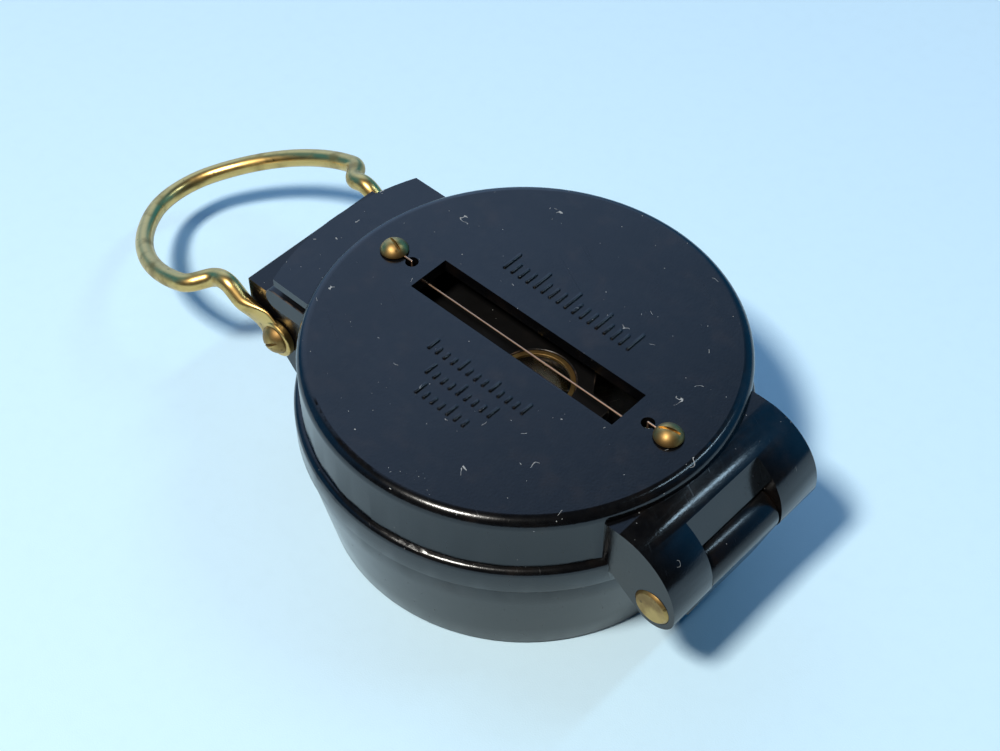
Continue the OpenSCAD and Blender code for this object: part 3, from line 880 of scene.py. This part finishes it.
def rounded_box(size: Sequence[float], radius: float, steps: int = 3) -> Surface:
    """Makes a box standing on z = 0 whose top and upright edges are rounded.

    Each layer is a rounded rectangle: its corners are arcs of the radius, and near the top the
    layer shrinks by radius (1 - cos a) as it rises by radius sin a.

    Args:
        size: Length, width and height in millimetres.
        radius: Radius of the edges in millimetres.
        steps: Points in a rounded edge.

    Returns:
        The surface.
    """
    length, width, height = size
    least = 0.02 * radius
    a = np.linspace(0.0, np.pi / 2, steps + 1)
    layers = [(0.0, 0.0)]
    layers += [(radius * (1 - math.cos(v)), height - radius + radius * math.sin(v)) for v in a]
    quarter = np.stack([np.cos(a), np.sin(a)], axis=1)
    rings = []
    for inset, z in layers:
        corner = max(radius - inset, least)
        half = np.array([length / 2 - inset - corner, width / 2 - inset - corner])
        parts = []
        for k in range(4):
            c, s = math.cos(k * math.pi / 2), math.sin(k * math.pi / 2)
            turn = np.array([[c, -s], [s, c]])
            signs = np.sign(turn @ np.array([1.0, 1.0]))
            parts.append(quarter @ turn.T * corner + signs * half)
        ring = np.vstack(parts)
        rings.append(np.column_stack([ring, np.full(len(ring), z)]))
    points = np.array(rings) * MM
    made = Surface.grid(points[:, ::-1], around=True)
    return made.capped(points.shape[1])


def turn_z(angle: float) -> np.ndarray:
    """Gives the matrix of a turn about Z.

    Args:
        angle: The angle in radians.

    Returns:
        A 3 by 3 matrix.
    """
    return np.array(Matrix.Rotation(angle, 3, "Z"))


def finish_piece(piece: bpy.types.Object, body: Body) -> bpy.types.Object:
    """Lets a piece ride on its body.

    Args:
        piece: The piece.
        body: The body it rides on.

    Returns:
        The piece.
    """
    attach(piece, body.value)
    LOG.info("piece %s rides on %s", piece.name, body.value)
    return piece


# ---------------------------------------------------------------------------------------------
# CAD nodes
# ---------------------------------------------------------------------------------------------


@dataclass(frozen=True)
class Edge:
    """How a CAD node's sharp edges are rounded.

    Attributes:
        width: Width of the rounding in millimetres.
        angle: Least angle between faces that counts as an edge, in degrees.
        finish: Material of the rounding, if it has its own.
    """

    width: float
    angle: float = 28.0
    finish: Finish | None = None


class CadNode:
    """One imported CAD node, which gets a finish and rounded edges through modifiers.

    Attributes:
        merged: Distance within which points are merged, in metres.
        flat_within: Angle within which faces count as one flat face, in radians.
        segments: Faces across a rounded edge.
    """

    merged = 0.0005 * MM
    flat_within = math.radians(0.03)
    segments = 3

    def __init__(self, name: str) -> None:
        """Finds the node.

        Args:
            name: The node's name.
        """
        self.name = name
        self.piece = frame["nodes"][name]

    def dress(self, finish: Finish, edge: Edge | None = None) -> None:
        """Gives the node its material, and rounds its edges.

        Args:
            finish: The material.
            edge: The rounding, or None to leave edges sharp.
        """
        slots = self.piece.data.materials
        slots.clear()
        slots.append(finish.material())
        if edge:
            if edge.finish:
                slots.append(edge.finish.material())
            self._round(edge)
        LOG.info("node %s wears %s", self.name, finish.name)

    def _round(self, edge: Edge) -> None:
        """Adds the modifiers that merge, clean, round and shade the node.

        Args:
            edge: The rounding.
        """
        weld = self.piece.modifiers.new("weld", "WELD")
        weld.merge_threshold = self.merged
        flat = self.piece.modifiers.new("flat", "DECIMATE")
        flat.decimate_type = "DISSOLVE"
        flat.angle_limit = self.flat_within
        bevel = self.piece.modifiers.new("edge", "BEVEL")
        bevel.width = edge.width * MM
        bevel.segments = self.segments
        bevel.limit_method = "ANGLE"
        bevel.angle_limit = math.radians(edge.angle)
        bevel.miter_outer = "MITER_ARC"
        bevel.harden_normals = True
        if edge.finish:
            bevel.material = 1


# ---------------------------------------------------------------------------------------------
# Sub-assemblies
# ---------------------------------------------------------------------------------------------


@dataclass(frozen=True)
class CaseLooks:
    """Finishes and edge roundings of the case and what is fixed in it.

    Attributes:
        edge: Width of the case's rounded edges, in millimetres.
        pin_edge: The same for the hinge pin.
        turned_edge: The same for turned metal parts.
        fine_edge: The same for the smallest of them.
    """

    edge: float = 0.22
    pin_edge: float = 0.15
    turned_edge: float = 0.08
    fine_edge: float = 0.06

    def dress(self) -> None:
        """Dresses the case's CAD nodes."""
        turned, fine = Edge(self.turned_edge), Edge(self.fine_edge)
        CadNode("case_body").dress(BLACK_LESS_DUST, Edge(self.edge, finish=EDGE))
        CadNode("hinge_pin").dress(BRASS_DULL, Edge(self.pin_edge))
        CadNode("ring_pivot_screws").dress(BRASS_DULL, turned)
        CadNode("eyepiece_hinge_pin").dress(STEEL, turned)
        CadNode("bezel_click_spring").dress(STEEL)
        CadNode("capsule_bowl").dress(BRASS_DULL, turned)
        CadNode("capsule_gasket").dress(RUBBER)
        CadNode("capsule_glass").dress(GLASS)
        CadNode("capsule_clamp_ring").dress(BRASS_DULL, turned)
        CadNode("lubber_line").dress(PRINT)
        CadNode("pivot_post").dress(BRASS_BRIGHT, turned)
        CadNode("pivot_point").dress(STEEL)
        CadNode("expansion_diaphragm").dress(RUBBER)
        CadNode("diaphragm_ring").dress(BRASS_DULL, fine)
        CadNode("filler_screw").dress(BRASS_DULL, fine)


@dataclass(frozen=True)
class LidLooks:
    """The lid's finishes, and the plain raised rule on its top.

    Attributes:
        edge: Width of the lid's rounded edges, in millimetres.
        screw_edge: The same for the wire's screws.
        rows: Each row's distance from the slot's middle, its count of bars and their length.
        pitch: Distance between bars.
        bar: Width of a bar.
        soft: Radius of a bar's edges.
        relief: Height of the bars.
        short: Length of a short bar as a share of a long one's.
    """

    edge: float = 0.2
    screw_edge: float = 0.08
    rows: tuple[tuple[float, int, float], ...] = (
        (8.6, 17, 3.3), (-8.0, 13, 2.0), (-11.0, 9, 2.0), (-14.0, 7, 2.0)
    )
    pitch: float = 1.25
    bar: float = 0.46
    soft: float = 0.16
    relief: float = 0.24
    short: float = 0.62

    def build(self) -> bpy.types.Object:
        """Builds the raised rule: rows of rounded bars, every fourth of them longer.

        Returns:
            The piece.
        """
        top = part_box("lid_cover")[1].z
        marks = Surface.empty()
        for y, count, tall in self.rows:
            for k in range(count):
                x = (k - (count - 1) / 2) * self.pitch
                length = tall if k % 4 == 0 else tall * self.short
                bar = rounded_box((self.bar, length, self.relief), self.soft)
                marks.add(bar.moved(np.eye(3), (x * MM, (y + (length - tall) / 2) * MM, top)))
        return finish_piece(marks.build("lid_raised_rule", BLACK), Body.LID)

    def dress(self) -> None:
        """Dresses the lid's CAD nodes."""
        CadNode("lid_cover").dress(BLACK, Edge(self.edge, finish=EDGE))
        CadNode("sight_wire").dress(COPPER)
        CadNode("sight_wire_screws").dress(BRASS_DULL, Edge(self.screw_edge))


@dataclass(frozen=True)
class ThumbRing:
    """The brass wire ring, swept as one smooth piece with flattened eyes.

    All sizes are in millimetres and degrees, in the ring's own frame: X runs out from the pivot
    along the legs, Y to the side and Z up.

    Attributes:
        wire_r: Radius of the wire.
        leg_l: Length of the straight legs.
        leg_y: Distance of the legs from the middle plane.
        leg_rise: Angle at which the legs rise, as the ring stands.
        drop: Angle at which the bow turns down from the legs.
        bend_r: Radius of the bends out of the legs.
        link: Length of the straight stretch between a leg's two bends.
        splay: Angle of the slanted stretch between the bend and the shoulder.
        shoulder_r: Radius of the shoulder's arc.
        side_r: Radius of the bow's side.
        lead: Angle of the side's arc behind its widest place.
        half_w: Distance of the bow's widest place from the middle plane.
        tip_r: Radius of the bow's end.
        eye_y: Distance of the eyes' middle plane.
        eye_r: Radius of the eyes.
        eye_t: Thickness of the eyes.
        hole_r: Radius of the eyes' holes.
        rim_soft: Radius of the eyes' outer edges.
        hole_soft: Radius of their holes' edges.
        wall: Least distance of the wire's end from the hole.
        end_share: Half-height of the flattened end as a share of the eye's radius.
        flat_l: Length over which the wire goes from flat to round.
    """

    wire_r: float = 1.25
    leg_l: float = 8.6
    leg_y: float = 12.6
    leg_rise: float = 34.0
    drop: float = 54.0
    bend_r: float = 2.5
    link: float = 0.2
    splay: float = 50.0
    shoulder_r: float = 3.0
    side_r: float = 23.0
    lead: float = 3.0
    half_w: float = 15.7
    tip_r: float = 10.0
    eye_y: float = 11.8
    eye_r: float = 2.7
    eye_t: float = 1.1
    hole_r: float = 0.95
    rim_soft: float = 0.3
    hole_soft: float = 0.12
    wall: float = 0.25
    end_share: float = 0.86
    flat_l: float = 4.2

    def _bow(self) -> np.ndarray:
        """Works out half of the bow, in its own plane.

        An arc turns the wire outward, a slanted stretch follows, a shoulder arc turns it back,
        and two arcs that share a tangent make the side and the tip.

        Returns:
            Points, as rows of X and Y in millimetres.
        """

        def arc(
            middle: Sequence[float], radius: float, start: float, end: float, count: int = 18
        ) -> np.ndarray:
            """Gives points of an arc: middle + radius (cos a, sin a), a from start to end.

            Args:
                middle: The arc's middle.
                radius: Its radius.
                start: Angle of its first point, in degrees.
                end: Angle of its last point, in degrees.
                count: How many points it has.

            Returns:
                The points.
            """
            a = np.radians(np.linspace(start, end, count))
            return np.column_stack([middle[0] + radius * np.cos(a), middle[1] + radius * np.sin(a)])

        splay, lead = math.radians(self.splay), math.radians(self.lead)
        middle_y = self.half_w - self.side_r
        shoulder_y = middle_y + (self.side_r - self.shoulder_r) * math.cos(lead)
        out = arc((self.link, self.leg_y + self.bend_r), self.bend_r, -90, self.splay - 90)
        slant = (shoulder_y + self.shoulder_r * math.cos(splay) - out[-1, 1]) / math.sin(splay)
        shoulder_x = out[-1, 0] + slant * math.cos(splay) + self.shoulder_r * math.sin(splay)
        middle_x = shoulder_x + (self.side_r - self.shoulder_r) * math.sin(lead)
        tip_x = middle_x + math.sqrt((self.side_r - self.tip_r) ** 2 - middle_y**2)
        join = math.degrees(math.atan2(-middle_y, tip_x - middle_x))
        back = arc((shoulder_x, shoulder_y), self.shoulder_r, 90 + self.splay, 90 + self.lead)
        side = arc((middle_x, middle_y), self.side_r, 90 + self.lead, join, count=44)
        tip = arc((tip_x, 0.0), self.tip_r, join, 0.0, count=24)
        return np.vstack([out, back, side[1:], tip[1:]])

    def half_path(self) -> tuple[np.ndarray, np.ndarray]:
        """Works out one half of the wire's route, from the eye to the bow's tip.

        The leg is straight. An arc in an upright plane turns it down into the bow's plane.

        Returns:
            Points in millimetres, and at each the angle by which the wire's plane is turned down.
        """
        drop = math.radians(self.drop)
        leg = np.linspace(self.hole_r + self.wall, self.leg_l, 26)
        a = np.linspace(0, drop, 14)[1:]
        bow = self._bow()
        x = np.concatenate([
            leg,
            self.leg_l + self.bend_r * np.sin(a),
            self.leg_l + self.bend_r * math.sin(drop) + bow[:, 0] * math.cos(drop),
        ])
        z = np.concatenate([
            np.zeros_like(leg),
            self.bend_r * (np.cos(a) - 1),
            self.bend_r * (math.cos(drop) - 1) - bow[:, 0] * math.sin(drop),
        ])
        y = np.concatenate([np.full(len(leg) + len(a), self.leg_y), bow[:, 1]])
        turned = np.concatenate([np.zeros_like(leg), a, np.full(len(bow), drop)])
        return np.column_stack([x, y, z]), turned

    def build(self) -> bpy.types.Object:
        """Sweeps the wire and adds its eyes.

        The section is an ellipse. Its half-widths go from the flattened eye's to the wire's
        radius by a smooth step along the leg.

        Returns:
            The piece.
        """
        half, turned = self.half_path()
        path = np.vstack([half, half[-2::-1] * [1.0, -1.0, 1.0]])
        turned = np.concatenate([turned, turned[-2::-1]])
        step = np.gradient(path, axis=0)
        step /= np.linalg.norm(step, axis=1, keepdims=True)
        over = np.column_stack([np.sin(turned), np.zeros_like(turned), np.cos(turned)])
        side = np.cross(over, step)
        t = np.clip((path[:, 0] - self.eye_r) / self.flat_l, 0.0, 1.0)
        ease = t * t * (3 - 2 * t)
        end_flat, end_tall = self.eye_t / 2, self.eye_r * self.end_share
        flat = end_flat + (self.wire_r - end_flat) * ease
        tall = end_tall + (self.wire_r - end_tall) * ease
        path[:, 1] += (self.eye_y - self.leg_y) * (1 - ease) * np.sign(path[:, 1])
        a = np.linspace(0, 2 * np.pi, 32, endpoint=False)[None, :, None]
        points = (
            path[:, None, :]
            + side[:, None, :] * flat[:, None, None] * np.cos(a)
            + over[:, None, :] * tall[:, None, None] * np.sin(a)
        )
        ring = Surface.grid(points[:, ::-1] * MM, around=True).capped(points.shape[1])
        upright = np.array(Matrix.Rotation(math.pi / 2, 3, "X"))
        for sign in (-1, 1):
            ring.add(self._eye().moved(upright, (0, sign * self.eye_y * MM, 0)))
        pivot = next(j["pos_m"] for j in frame["joints"] if j["name"] == "ring_swing")
        turn = Matrix.Rotation(math.pi, 3, "Z") @ Matrix.Rotation(-math.radians(self.leg_rise), 3, "Y")
        made = ring.moved(np.array(turn), pivot).build("thumb_ring_wire", BRASS, smooth=50.0)
        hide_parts("thumb_ring")
        return finish_piece(made, Body.RING)

    def _eye(self) -> Surface:
        """Makes an eye: a washer with rounded rims, about the Z axis.

        Returns:
            The surface.
        """
        half, rim, hole = self.eye_t / 2, self.rim_soft, self.hole_soft
        outline: list[tuple[float, float]] = []
        corners = (
            (self.eye_r - rim, -half + rim, -90, rim),
            (self.eye_r - rim, half - rim, 0, rim),
            (self.hole_r + hole, half - hole, 90, hole),
            (self.hole_r + hole, -half + hole, 180, hole),
        )
        for r, z, start, radius in corners:
            for a in np.radians(np.linspace(start, start + 90, 6)):
                outline.append((r + radius * math.cos(a), z + radius * math.sin(a)))
        return spin(outline, 64)


@dataclass(frozen=True)
class EyepieceLooks:
    """Finishes of the folding eyepiece.

    Attributes:
        edge: Width of the bracket's rounded edges, in millimetres.
        ring_edge: The same for the lens's ring.
    """

    edge: float = 0.15
    ring_edge: float = 0.05

    def dress(self) -> None:
        """Dresses the eyepiece's CAD nodes."""
        CadNode("eyepiece_bracket").dress(BLACK_SOFT, Edge(self.edge, finish=EDGE))
        CadNode("eyepiece_lens").dress(LENS)
        CadNode("lens_retaining_ring").dress(BRASS_DULL, Edge(self.ring_edge))


@dataclass(frozen=True)
class BezelLooks:
    """Finishes of the turning bezel."""

    def dress(self) -> None:
        """Dresses the bezel's CAD nodes."""
        CadNode("bezel_ring").dress(BLACK_SOFT)
        CadNode("bezel_glass").dress(GLASS)
        CadNode("bezel_glass_ring").dress(BRASS_DULL)
        CadNode("bezel_index_line").dress(LUME)
        CadNode("bezel_snap_ring").dress(STEEL)


@dataclass(frozen=True)
class Dial:
    """The floating dial: its finishes, and the scale printed on its card.

    Attributes:
        tick_count: How many ticks the scale has.
        label_count: How many numerals it has.
        margin: Gap between the scale and the card's rim, in millimetres.
        tick: Length of the long ticks, which are every second one.
        short: Length of a short tick as a share of a long one's.
        wide: Width of every sixth tick.
        thin: Width of the others.
        print_t: Thickness of the print.
        print_soft: Radius of the ticks' edges.
        letter: Height of the numerals.
        letter_gap: Distance of the numerals' middle from the ticks' inner ends.
        card_edge: Width of the card's rounded edges.
        hub_edge: The same for the hub's ring.
        magnet_edge: The same for the magnets.
    """

    tick_count: int = 72
    label_count: int = 12
    margin: float = 0.5
    tick: float = 2.2
    short: float = 0.55
    wide: float = 0.22
    thin: float = 0.14
    print_t: float = 0.03
    print_soft: float = 0.01
    letter: float = 2.3
    letter_gap: float = 1.6
    card_edge: float = 0.05
    hub_edge: float = 0.08
    magnet_edge: float = 0.1

    def build(self) -> list[bpy.types.Object]:
        """Builds the printed ticks and numerals.

        Returns:
            The pieces.
        """
        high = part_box("dial_card")[1]
        rim, top = high.x / MM - self.margin, high.z
        ticks = Surface.empty()
        for k in range(self.tick_count):
            length = self.tick if k % 2 == 0 else self.tick * self.short
            width = self.wide if k % 6 == 0 else self.thin
            bar = rounded_box((length, width, self.print_t), self.print_soft, steps=1)
            place = bar.moved(np.eye(3), ((rim - length / 2) * MM, 0, 0))
            ticks.add(place.moved(turn_z(math.radians(k * 360 / self.tick_count)), (0, 0, top)))
        made = [finish_piece(ticks.build("dial_ticks", PRINT), Body.DIAL)]
        letters = Surface.empty()
        radius = rim - self.tick - self.letter_gap
        for k in range(self.label_count):
            degrees = k * 360 // self.label_count
            text = {0: "N", 90: "E", 180: "S", 270: "W"}.get(degrees, str(degrees))
            letters.add(self._text(text, radius).moved(turn_z(-math.radians(degrees)), (0, 0, top)))
        made.append(finish_piece(letters.build("dial_numerals", PRINT), Body.DIAL))
        return made

    def _text(self, text: str, radius: float) -> Surface:
        """Makes one numeral, upright for an eye that looks outward along +X.

        Args:
            text: The characters.
            radius: Distance of its middle from the dial's axis, in millimetres.

        Returns:
            The surface, at height 0.
        """
        curve = bpy.data.curves.new("label", "FONT")
        curve.body = text
        curve.size = self.letter * MM
        curve.extrude = self.print_t / 2 * MM
        curve.align_x = "CENTER"
        curve.align_y = "CENTER"
        curve.resolution_u = 3
        holder = bpy.data.objects.new("label", curve)
        mesh = bpy.data.meshes.new_from_object(holder)
        points = np.empty(len(mesh.vertices) * 3)
        mesh.vertices.foreach_get("co", points)
        faces = [np.array([list(face.vertices)]) for face in mesh.polygons]
        bpy.data.objects.remove(holder)
        bpy.data.curves.remove(curve)
        bpy.data.meshes.remove(mesh)
        label = Surface(points.reshape(-1, 3), faces)
        return label.moved(turn_z(-math.pi / 2), (radius * MM, 0, self.print_t / 2 * MM))

    def dress(self) -> None:
        """Dresses the dial's CAD nodes."""
        CadNode("dial_card").dress(CARD, Edge(self.card_edge))
        CadNode("card_luminous_marks").dress(LUME)
        CadNode("float_hub").dress(FLOAT)
        CadNode("hub_ring").dress(BRASS_BRIGHT, Edge(self.hub_edge))
        CadNode("jewel_bearing").dress(JEWEL)
        CadNode("card_magnets").dress(STEEL, Edge(self.magnet_edge))


# ---------------------------------------------------------------------------------------------
# Studio
# ---------------------------------------------------------------------------------------------


@dataclass(frozen=True)
class AreaLight:
    """A soft studio light, given by its direction from the object.

    Attributes:
        name: The light's name.
        towards: Direction from the object to the light.
        distance: Distance in metres.
        size: Width and height in metres.
        radiance: Brightness of its face.
        colour: Its colour, linear.
        roll: Turn of its face about the direction, in degrees.
    """

    name: str
    towards: Triple
    distance: float
    size: tuple[float, float]
    radiance: float
    colour: Colour
    roll: float = 0.0

    def build(self) -> None:
        """Makes the light and puts it in the scene."""
        data = bpy.data.lights.new(self.name, "AREA")
        data.shape = "RECTANGLE"
        data.size, data.size_y = self.size
        data.energy = self.radiance * math.pi * self.size[0] * self.size[1]
        data.color = self.colour
        made = bpy.data.objects.new(self.name, data)
        direction = Vector(self.towards).normalized()
        made.location = direction * self.distance
        roll = Matrix.Rotation(math.radians(self.roll), 3, "Z")
        made.rotation_euler = (direction.to_track_quat("Z", "Y").to_matrix() @ roll).to_euler()
        bpy.context.scene.collection.objects.link(made)
        LOG.info("light %s", self.name)


KEY = AreaLight(
    name="key",
    towards=(-0.02, -0.47, 0.88),
    distance=0.75,
    size=(0.11, 0.11),
    radiance=152.0,
    colour=(1.0, 0.97, 0.90),
)
SIDE = AreaLight(
    name="side",
    towards=(0.32, 0.48, 0.82),
    distance=0.6,
    size=(0.035, 0.22),
    radiance=22.0,
    colour=(0.55, 0.80, 1.0),
    roll=39.0,
)


@dataclass(frozen=True)
class Room:
    """The world's light: blue far walls under a dark ceiling, and a window's soft glow.

    The dark gives way to the walls by a smooth step of the cosine between a direction and the
    far side's. The walls give way to the dark by one of its height, and what is there gives way
    to the glow by one of the cosine between the direction and the window's.

    Attributes:
        dark: Colour of the ceiling and of the near side, linear.
        walls: Colour of the far walls.
        glow: Colour of the glow.
        far_side: Direction of the far walls.
        window: Direction of the window.
        walls_at: Cosines at which the walls begin and are full.
        ceiling_at: Heights at which the ceiling begins and is full, 1 being straight up.
        glow_at: Cosines at which the glow begins and is full.
    """

    dark: Colour = (0.009, 0.012, 0.015)
    walls: Colour = (0.010, 0.25, 0.60)
    glow: Colour = (0.64, 0.95, 1.5)
    far_side: Triple = (-0.68, 0.73, 0.0)
    window: Triple = (-0.75, 0.433, 0.5)
    walls_at: tuple[float, float] = (-0.45, 0.25)
    ceiling_at: tuple[float, float] = (0.60, 0.86)
    glow_at: tuple[float, float] = (0.78, 0.99)

    def build(self) -> None:
        """Makes the world and puts it in the scene."""
        world = bpy.data.worlds.new("room")
        world.use_nodes = True
        world.node_tree.nodes.clear()
        graph = Graph(world.node_tree)
        place = graph.add("ShaderNodeTexCoord").outputs["Object"]
        towards = graph.vector("NORMALIZE", place)
        near_window = graph.vector("DOT_PRODUCT", towards, self.window)
        near_far_side = graph.vector("DOT_PRODUCT", towards, self.far_side)
        colour = graph.mix(graph.step(near_far_side, *self.walls_at), self.dark, self.walls)
        colour = graph.mix(graph.step(graph.height_of(towards), *self.ceiling_at), colour, self.dark)
        colour = graph.mix(graph.step(near_window, *self.glow_at), colour, self.glow)
        background = graph.add("ShaderNodeBackground", {"Color": colour})
        graph.add("ShaderNodeOutputWorld", {"Surface": background.outputs[0]})
        bpy.context.scene.world = world
        LOG.info("room lit")


@dataclass(frozen=True)
class Studio:
    """The camera, the lights, the room and the pale paper that the compass lies on.

    Attributes:
        azimuth: Camera's turn from looking along +Y, in degrees.
        elevation: Camera's angle above level, in degrees.
        roll: Camera's turn about its own axis, in degrees.
        distance: Camera's distance from the target, in metres.
        target: The point it looks at, in metres.
        lens: Focal length, in millimetres.
        sensor: Width of the camera's sensor, in millimetres.
        nearest: Least distance that it sees, in metres.
        paper: The paper's colour, linear.
        paper_patch: Brightness of the paper's faint patches as a share of the paper's.
        paper_half: Half of the paper's length and width, in metres.
        paper_gap: Distance of the paper under the case's bottom, in millimetres.
        lights: The lights.
        room: The room.
    """

    azimuth: float = 43.0
    elevation: float = 48.83
    roll: float = -0.08
    distance: float = 0.2136
    target: Triple = (0.001717, -0.006292, 0.0269)
    lens: float = 65.42
    sensor: float = 36.0
    nearest: float = 0.01
    paper: Colour = (0.60, 0.80, 0.92)
    paper_patch: float = 0.985
    paper_half: float = 1.6
    paper_gap: float = 0.02
    lights: tuple[AreaLight, ...] = (KEY, SIDE)
    room: Room = Room()

    def build(self) -> None:
        """Makes the whole studio."""
        self._camera()
        self._paper()
        self.room.build()
        for light in self.lights:
            light.build()

    def _camera(self) -> None:
        """Makes the camera."""
        a, e = math.radians(self.azimuth), math.radians(self.elevation)
        back = Vector((math.sin(a) * math.cos(e), -math.cos(a) * math.cos(e), math.sin(e)))
        right = Vector((math.cos(a), math.sin(a), 0.0))
        up = back.cross(right)
        data = bpy.data.cameras.new("camera")
        data.lens = self.lens
        data.sensor_width = self.sensor
        data.clip_start = self.nearest
        camera = bpy.data.objects.new("camera", data)
        turn = Matrix((right, up, back)).transposed() @ Matrix.Rotation(math.radians(self.roll), 3, "Z")
        place = Matrix.Translation(Vector(self.target) + back * self.distance)
        camera.matrix_world = place @ turn.to_4x4()
        bpy.context.scene.collection.objects.link(camera)
        bpy.context.scene.camera = camera
        bpy.context.scene.view_settings.view_transform = "Standard"
        LOG.info("camera placed")

    def _paper(self) -> None:
        """Makes the paper floor, a flat grid a little under the case's bottom."""
        x = np.linspace(-self.paper_half, self.paper_half, 9)
        grid = np.stack(np.meshgrid(x, x, indexing="ij"), axis=-1)
        points = np.dstack([grid, np.full(grid.shape[:2], -self.paper_gap * MM)])
        shade = tuple(part * self.paper_patch for part in self.paper)
        finish = Paint("paper", self.paper, roughness=0.85, shade=shade, grain=0.02)
        Surface.grid(points).build("paper_floor", finish)
        LOG.info("floor laid")


# ---------------------------------------------------------------------------------------------
# Scene
# ---------------------------------------------------------------------------------------------


def main() -> None:
    """Builds the studio and every sub-assembly in order, and reports each piece."""
    logging.basicConfig(level=logging.INFO, format="%(name)s: %(message)s")
    Studio().build()
    CaseLooks().dress()
    lid = LidLooks()
    lid.build()
    lid.dress()
    ThumbRing().build()
    EyepieceLooks().dress()
    BezelLooks().dress()
    dial = Dial()
    dial.build()
    dial.dress()


if __name__ == "__main__":
    main()
